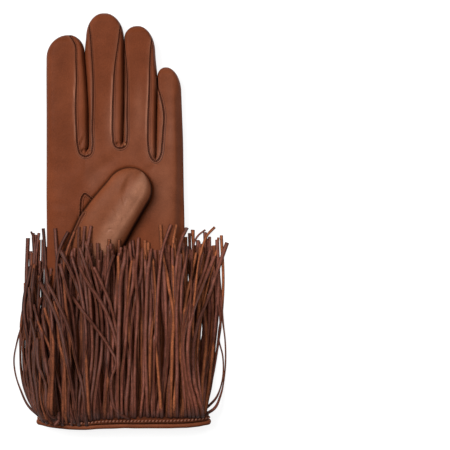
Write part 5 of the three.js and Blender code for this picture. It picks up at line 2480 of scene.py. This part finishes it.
@dataclass(frozen=True)
class LambskinFinish:
    """Smooth dyed lambskin: its colours, sheen and grain."""

    name: str
    base: Colour = (0.121, 0.0302, 0.0113, 1.0)
    dark: Colour = (0.108, 0.0264, 0.0095, 1.0)
    light: Colour = (0.136, 0.0356, 0.0139, 1.0)
    # Colour of the painted sheen
    painted_sheen_colour: Colour = (0.178, 0.061, 0.031, 1.0)
    roughness: float = 0.5
    depth: float = 0.00006
    ridge: float = 13.0
    coat_roughness: float = 0.42
    shine: float = 0.035

    def material(self, group: bpy.types.NodeTree) -> Material:
        """Make the material.

        Args:
            group: The lambskin's pattern.

        Returns:
            The material.
        """
        made, graph, shader = new_material(self.name)
        skin = graph.add(
            "ShaderNodeGroup",
            {"Base": self.base, "Dark": self.dark, "Light": self.light, "Painted Sheen": self.painted_sheen_colour,
             "Roughness": self.roughness, "Ridge": self.ridge,
             "Seam": graph.attribute("seam"), "Painted Light And Gloss": graph.attribute("painted_light_and_gloss")},
            node_tree=group,
        )
        graph.feed(shader, {
            "Base Color": skin.outputs["Color"],
            "Roughness": skin.outputs["Roughness"],
            "Specular IOR Level": self.shine,
            "Coat Weight": skin.outputs["Gloss"],
            "Coat Roughness": self.coat_roughness,
            "Normal": graph.bump(self.depth, skin.outputs["Height"]),
        })
        return made


@dataclass(frozen=True)
class StripPattern:
    """Pattern of a cut strip, by the face that shows."""

    cloud: Noise = Noise(190.0, 4.0)
    nap: Noise = Noise(1900.0)
    wear: Noise = Noise(430.0)
    plain: Colour = (0.1, 0.03, 0.02, 1.0)
    shade: Ramp = Ramp(0.25, 0.75)
    # Painted shade: tones below zero darken towards black, standing in for the shade among the crowded index
    # side strips
    deep: Ramp = Ramp(-0.5, 0.0, 0.66, 0.0)
    deep_colour: Colour = (0.0, 0.0, 0.0, 1.0)
    side: Ramp = Ramp(0.05, 0.95)
    # Painted highlight along the crest of each strip's faces
    crest_highlight: Ramp = Ramp(0.0, 0.5, 0.28, 0.0)
    crest_highlight_colour: Colour = (0.24, 0.084, 0.055, 1.0)
    # Painted shade at each strip's edges, where the strips meet
    edge: Ramp = Ramp(0.42, 0.86, 0.0, 0.8)
    edge_shade_colour: Colour = (0.022, 0.0068, 0.0044, 1.0)
    cut: Ramp = Ramp(0.02, 0.1, 0.75, 0.0)
    cut_colour: Colour = (0.11, 0.032, 0.013, 1.0)
    wear_and_sheen: Ramp = Ramp(0.32, 0.68, 0.8, 1.2)
    speck: Ramp = Ramp(0.36, 0.64, 0.7, 1.28)
    # Painted shade where the strips leave the band and on the header under it
    root_shade_share: float = 0.85
    root_shade_colour: Colour = (0.02, 0.0042, 0.0022, 1.0)
    rough: Ramp = Ramp(0.0, 1.0, 0.55, 0.92)
    nap_height: Ramp = Ramp(0.0, 1.0, 0.5, 1.4)

    def group(self) -> bpy.types.NodeTree:
        """Make the pattern's node group.

        Returns:
            The group, with a finish's colours as inputs.
        """
        graph, given, result = new_group(
            "Cut Strip",
            {"Grain": self.plain, "Grain Light": self.plain, "Flesh": self.plain, "Flesh Light": self.plain,
             "Flesh Side": 0.0, "Tone": 0.5, "Across": 0.0, "Root Shade": 0.0},
            {"Color": "NodeSocketColor", "Roughness": "NodeSocketFloat", "Height": "NodeSocketFloat"},
        )
        where = graph.place()
        nap = graph.noise(where, self.nap)
        shade = graph.times(graph.plus(given["Tone"], graph.noise(where, self.cloud)), 0.5)
        shade = graph.spread(shade, self.shade)
        grain = graph.blend(shade, given["Grain"], given["Grain Light"])
        # Painted shade on strips with a tone below zero, most on the index side
        grain = graph.blend(graph.spread(given["Tone"], self.deep), grain, self.deep_colour)
        flesh = graph.blend(shade, given["Flesh"], given["Flesh Light"])
        side = graph.spread(given["Flesh Side"], self.side)
        tone = graph.blend(side, grain, flesh)
        # Painted highlight along each strip's crest
        tone = graph.blend(graph.spread(given["Across"], self.crest_highlight), tone, self.crest_highlight_colour)
        # Painted shade at each strip's edges, where shade falls between the strips
        tone = graph.blend(graph.spread(given["Across"], self.edge), tone, self.edge_shade_colour)
        cut = graph.spread(graph.away(given["Flesh Side"], 0.5), self.cut)
        tone = graph.blend(cut, tone, self.cut_colour)
        wear_and_sheen = graph.spread(graph.noise(where, self.wear), self.wear_and_sheen)
        tone = graph.shaded(tone, graph.times(graph.spread(nap, self.speck), wear_and_sheen))
        # Painted shade at the strips' roots and on the header
        tone = graph.blend(graph.times(given["Root Shade"], self.root_shade_share), tone, self.root_shade_colour)
        graph.feed(result, {
            "Color": tone,
            "Roughness": graph.spread(side, self.rough),
            "Height": graph.times(nap, graph.spread(side, self.nap_height)),
        })
        return graph.tree


@dataclass(frozen=True)
class StripFinish:
    """Cut strips of the same skin: dyed grain on one face and suede on the other."""

    name: str = "cut_strips"
    grain: Colour = (0.066, 0.0184, 0.0112, 1.0)
    grain_light: Colour = (0.143, 0.0402, 0.0238, 1.0)
    flesh: Colour = (0.122, 0.033, 0.0122, 1.0)
    flesh_light: Colour = (0.24, 0.07, 0.0245, 1.0)
    depth: float = 0.00014
    shine: float = 0.14

    def material(self, group: bpy.types.NodeTree) -> Material:
        """Make the material.

        Args:
            group: The strips' pattern.

        Returns:
            The material.
        """
        made, graph, shader = new_material(self.name)
        strip = graph.add(
            "ShaderNodeGroup",
            {"Grain": self.grain, "Grain Light": self.grain_light, "Flesh": self.flesh,
             "Flesh Light": self.flesh_light, "Flesh Side": graph.attribute("flesh"),
             "Tone": graph.attribute("tone"), "Across": graph.attribute("across"),
             "Root Shade": graph.attribute("root")},
            node_tree=group,
        )
        graph.feed(shader, {
            "Base Color": strip.outputs["Color"],
            "Roughness": strip.outputs["Roughness"],
            "Specular IOR Level": self.shine,
            "Normal": graph.bump(self.depth, strip.outputs["Height"]),
        })
        return made


@dataclass(frozen=True)
class PlainFinish:
    """A finish with one colour broken up by a fine noise."""

    name: str
    colour: Colour
    second: Colour
    roughness: float
    scale: float
    depth: float
    shine: float = 0.3
    detail: float = 4.0
    broken: Ramp = Ramp(0.3, 0.7)

    def material(self) -> Material:
        """Make the material.

        Returns:
            The material.
        """
        made, graph, shader = new_material(self.name)
        noise = graph.noise(graph.place(), Noise(self.scale, self.detail))
        graph.feed(shader, {
            "Base Color": graph.blend(graph.spread(noise, self.broken), self.colour, self.second),
            "Roughness": self.roughness,
            "Specular IOR Level": self.shine,
            "Normal": graph.bump(self.depth, noise),
        })
        return made
# A lighter copy of the lambskin for the thumb, with a brighter sheen colour: painted highlight
LIT_THUMB_LEATHER = LambskinFinish(
    "lit_thumb_lambskin",
    base=(0.136, 0.038, 0.0152, 1.0),
    dark=(0.125, 0.034, 0.0132, 1.0),
    light=(0.148, 0.043, 0.0178, 1.0),
    painted_sheen_colour=(0.218, 0.09, 0.05, 1.0),
)
BAND_LEATHER = LambskinFinish(
    "band_leather",
    base=(0.118, 0.029, 0.0105, 1.0),
    dark=(0.095, 0.0225, 0.008, 1.0),
    light=(0.135, 0.034, 0.0125, 1.0),
    ridge=2.5,
)
# A lighter copy of the lambskin for the rolled edge, with a brighter sheen colour: painted light on an edge
# that lies in the fringe's shadow
LIT_ROLL_LEATHER = LambskinFinish(
    "lit_roll_leather",
    base=(0.13, 0.0345, 0.0135, 1.0),
    dark=(0.11, 0.028, 0.0108, 1.0),
    light=(0.15, 0.041, 0.0165, 1.0),
    painted_sheen_colour=(0.24, 0.074, 0.033, 1.0),
)
FLESH_INSIDE = PlainFinish(
    "flesh_side", (0.2, 0.075, 0.03, 1.0), (0.13, 0.045, 0.018, 1.0), roughness=0.95, scale=900.0,
    depth=0.00015,
)
THREAD = PlainFinish(
    "thread", (0.026, 0.0064, 0.0032, 1.0), (0.042, 0.0105, 0.005, 1.0), roughness=0.9, scale=3000.0,
    depth=0.00004, shine=0.05,
)
CUFF_THREAD = PlainFinish(
    "cuff_thread", (0.22, 0.08, 0.045, 1.0), (0.16, 0.056, 0.031, 1.0), roughness=0.6, scale=3000.0,
    depth=0.00004,
)
FLOOR = PlainFinish(
    "floor", (0.2, 0.2, 0.2, 1.0), (0.195, 0.195, 0.195, 1.0), roughness=0.9, scale=20.0, depth=0.0
)


# The studio


@dataclass(frozen=True)
class Lamp:
    """A soft square lamp, aimed at the glove."""

    name: str
    place: tuple[float, float, float]
    size: float
    power: float


@dataclass(frozen=True)
class Studio:
    """A pale floor, soft lamps and a camera that looks straight down."""

    lamps: tuple[Lamp, ...] = (
        Lamp("key", (-0.72, 0.5, 1.25), 0.8, 30.0),
        Lamp("fill", (0.4, 0.85, 1.4), 0.8, 8.0),
    )
    sky: float = 0.28
    aim: tuple[float, float, float] = (0.0633, -0.0024, 0.012)
    frame_width: float = 0.27
    sensor: float = 36.0
    lens: float = 150.0
    floor_size: float = 6.0
    glow: float = 0.86
    white: Colour = (1.0, 1.0, 1.0, 1.0)

    def lay_floor(self) -> None:
        """Lay the floor under the glove."""
        half = self.floor_size / 2
        mesh = bpy.data.meshes.new("floor")
        corners = [(-half, -half, 0.0), (half, -half, 0.0), (half, half, 0.0), (-half, half, 0.0)]
        mesh.from_pydata(corners, [], [(0, 1, 2, 3)])
        board = FLOOR.material()
        shader = board.node_tree.nodes["Principled BSDF"]
        shader.inputs["Emission Color"].default_value = self.white
        shader.inputs["Emission Strength"].default_value = self.glow
        mesh.materials.append(board)
        made = put("floor", mesh)
        made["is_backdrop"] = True

    def hang_lamps(self) -> None:
        """Hang the lamps."""
        for lamp in self.lamps:
            data = bpy.data.lights.new(lamp.name, "AREA")
            data.energy = lamp.power
            data.size = lamp.size
            made = put(lamp.name, data)
            made.location = lamp.place
            made.rotation_mode = "QUATERNION"
            made.rotation_quaternion = (-Vector(lamp.place)).to_track_quat("-Z", "Y")

    def light_sky(self) -> None:
        """Light the world evenly."""
        world = bpy.data.worlds.new("studio")
        world.use_nodes = True
        background = world.node_tree.nodes["Background"]
        background.inputs["Color"].default_value = self.white
        background.inputs["Strength"].default_value = self.sky
        bpy.context.scene.world = world

    def set_camera(self) -> None:
        """Look straight down on the middle of the photograph's frame."""
        data = bpy.data.cameras.new("camera")
        data.sensor_width = self.sensor
        data.lens = self.lens
        made = put("camera", data)
        x, y, z = self.aim
        made.location = (x, y, z + self.frame_width * self.lens / self.sensor)
        bpy.context.scene.camera = made
        bpy.context.scene.view_settings.view_transform = "Standard"

    def build(self) -> None:
        """Set the whole studio."""
        self.lay_floor()
        self.hang_lamps()
        self.light_sky()
        self.set_camera()


SEAM_THREAD = Thread(pitch=1.3, length=0.72, radius=0.22, slant=0.35)


def main() -> None:
    """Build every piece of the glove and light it."""
    logging.basicConfig(level=logging.INFO, format="%(name)s: %(message)s")
    Studio().build()
    lambskin = LambskinPattern().group()
    leather = LambskinFinish("lambskin").material(lambskin)
    flesh = FLESH_INSIDE.material()
    thread = THREAD.material()
    strips = StripFinish().material(StripPattern().group())

    form = HandForm()
    thumb = ThumbForm()
    shell = GloveShell(form, Relief(), PaintedSheen(), thumb.outline())
    skin = shell.build(leather, flesh)
    thumb_skin = thumb.build(LIT_THUMB_LEATHER.material(lambskin), flesh)
    surfaces = [skin.tree(), thumb_skin.tree()]

    stitcher = Stitcher()
    for seam in (*shell.palm_seams, shell.quirk_seam):
        stitcher.follow(seam.path, surfaces[0], True, SEAM_THREAD)
    for seam in (*shell.back_seams, shell.side_seam):
        stitcher.follow(seam.path, surfaces[0], False, SEAM_THREAD)
    stitcher.build("seam_stitches", thread, Slot.GUSSET)

    cuff = Cuff(form)
    band, roll = (finish.material(lambskin) for finish in (BAND_LEATHER, LIT_ROLL_LEATHER))
    cuff.build(band, roll, CUFF_THREAD.material())
    fringe = Fringe(cuff, Cut())
    fringe.lower(strips)
    fringe.upper([*surfaces, cuff.collar.tree()], strips)

    boxes = {"cad": CAD_BOX, "visual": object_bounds()}
    plain = {name: [[float(v) for v in corner] for corner in box] for name, box in boxes.items()}
    LOG.info("sizes: %s", plain)


if __name__ == "__main__":
    main()
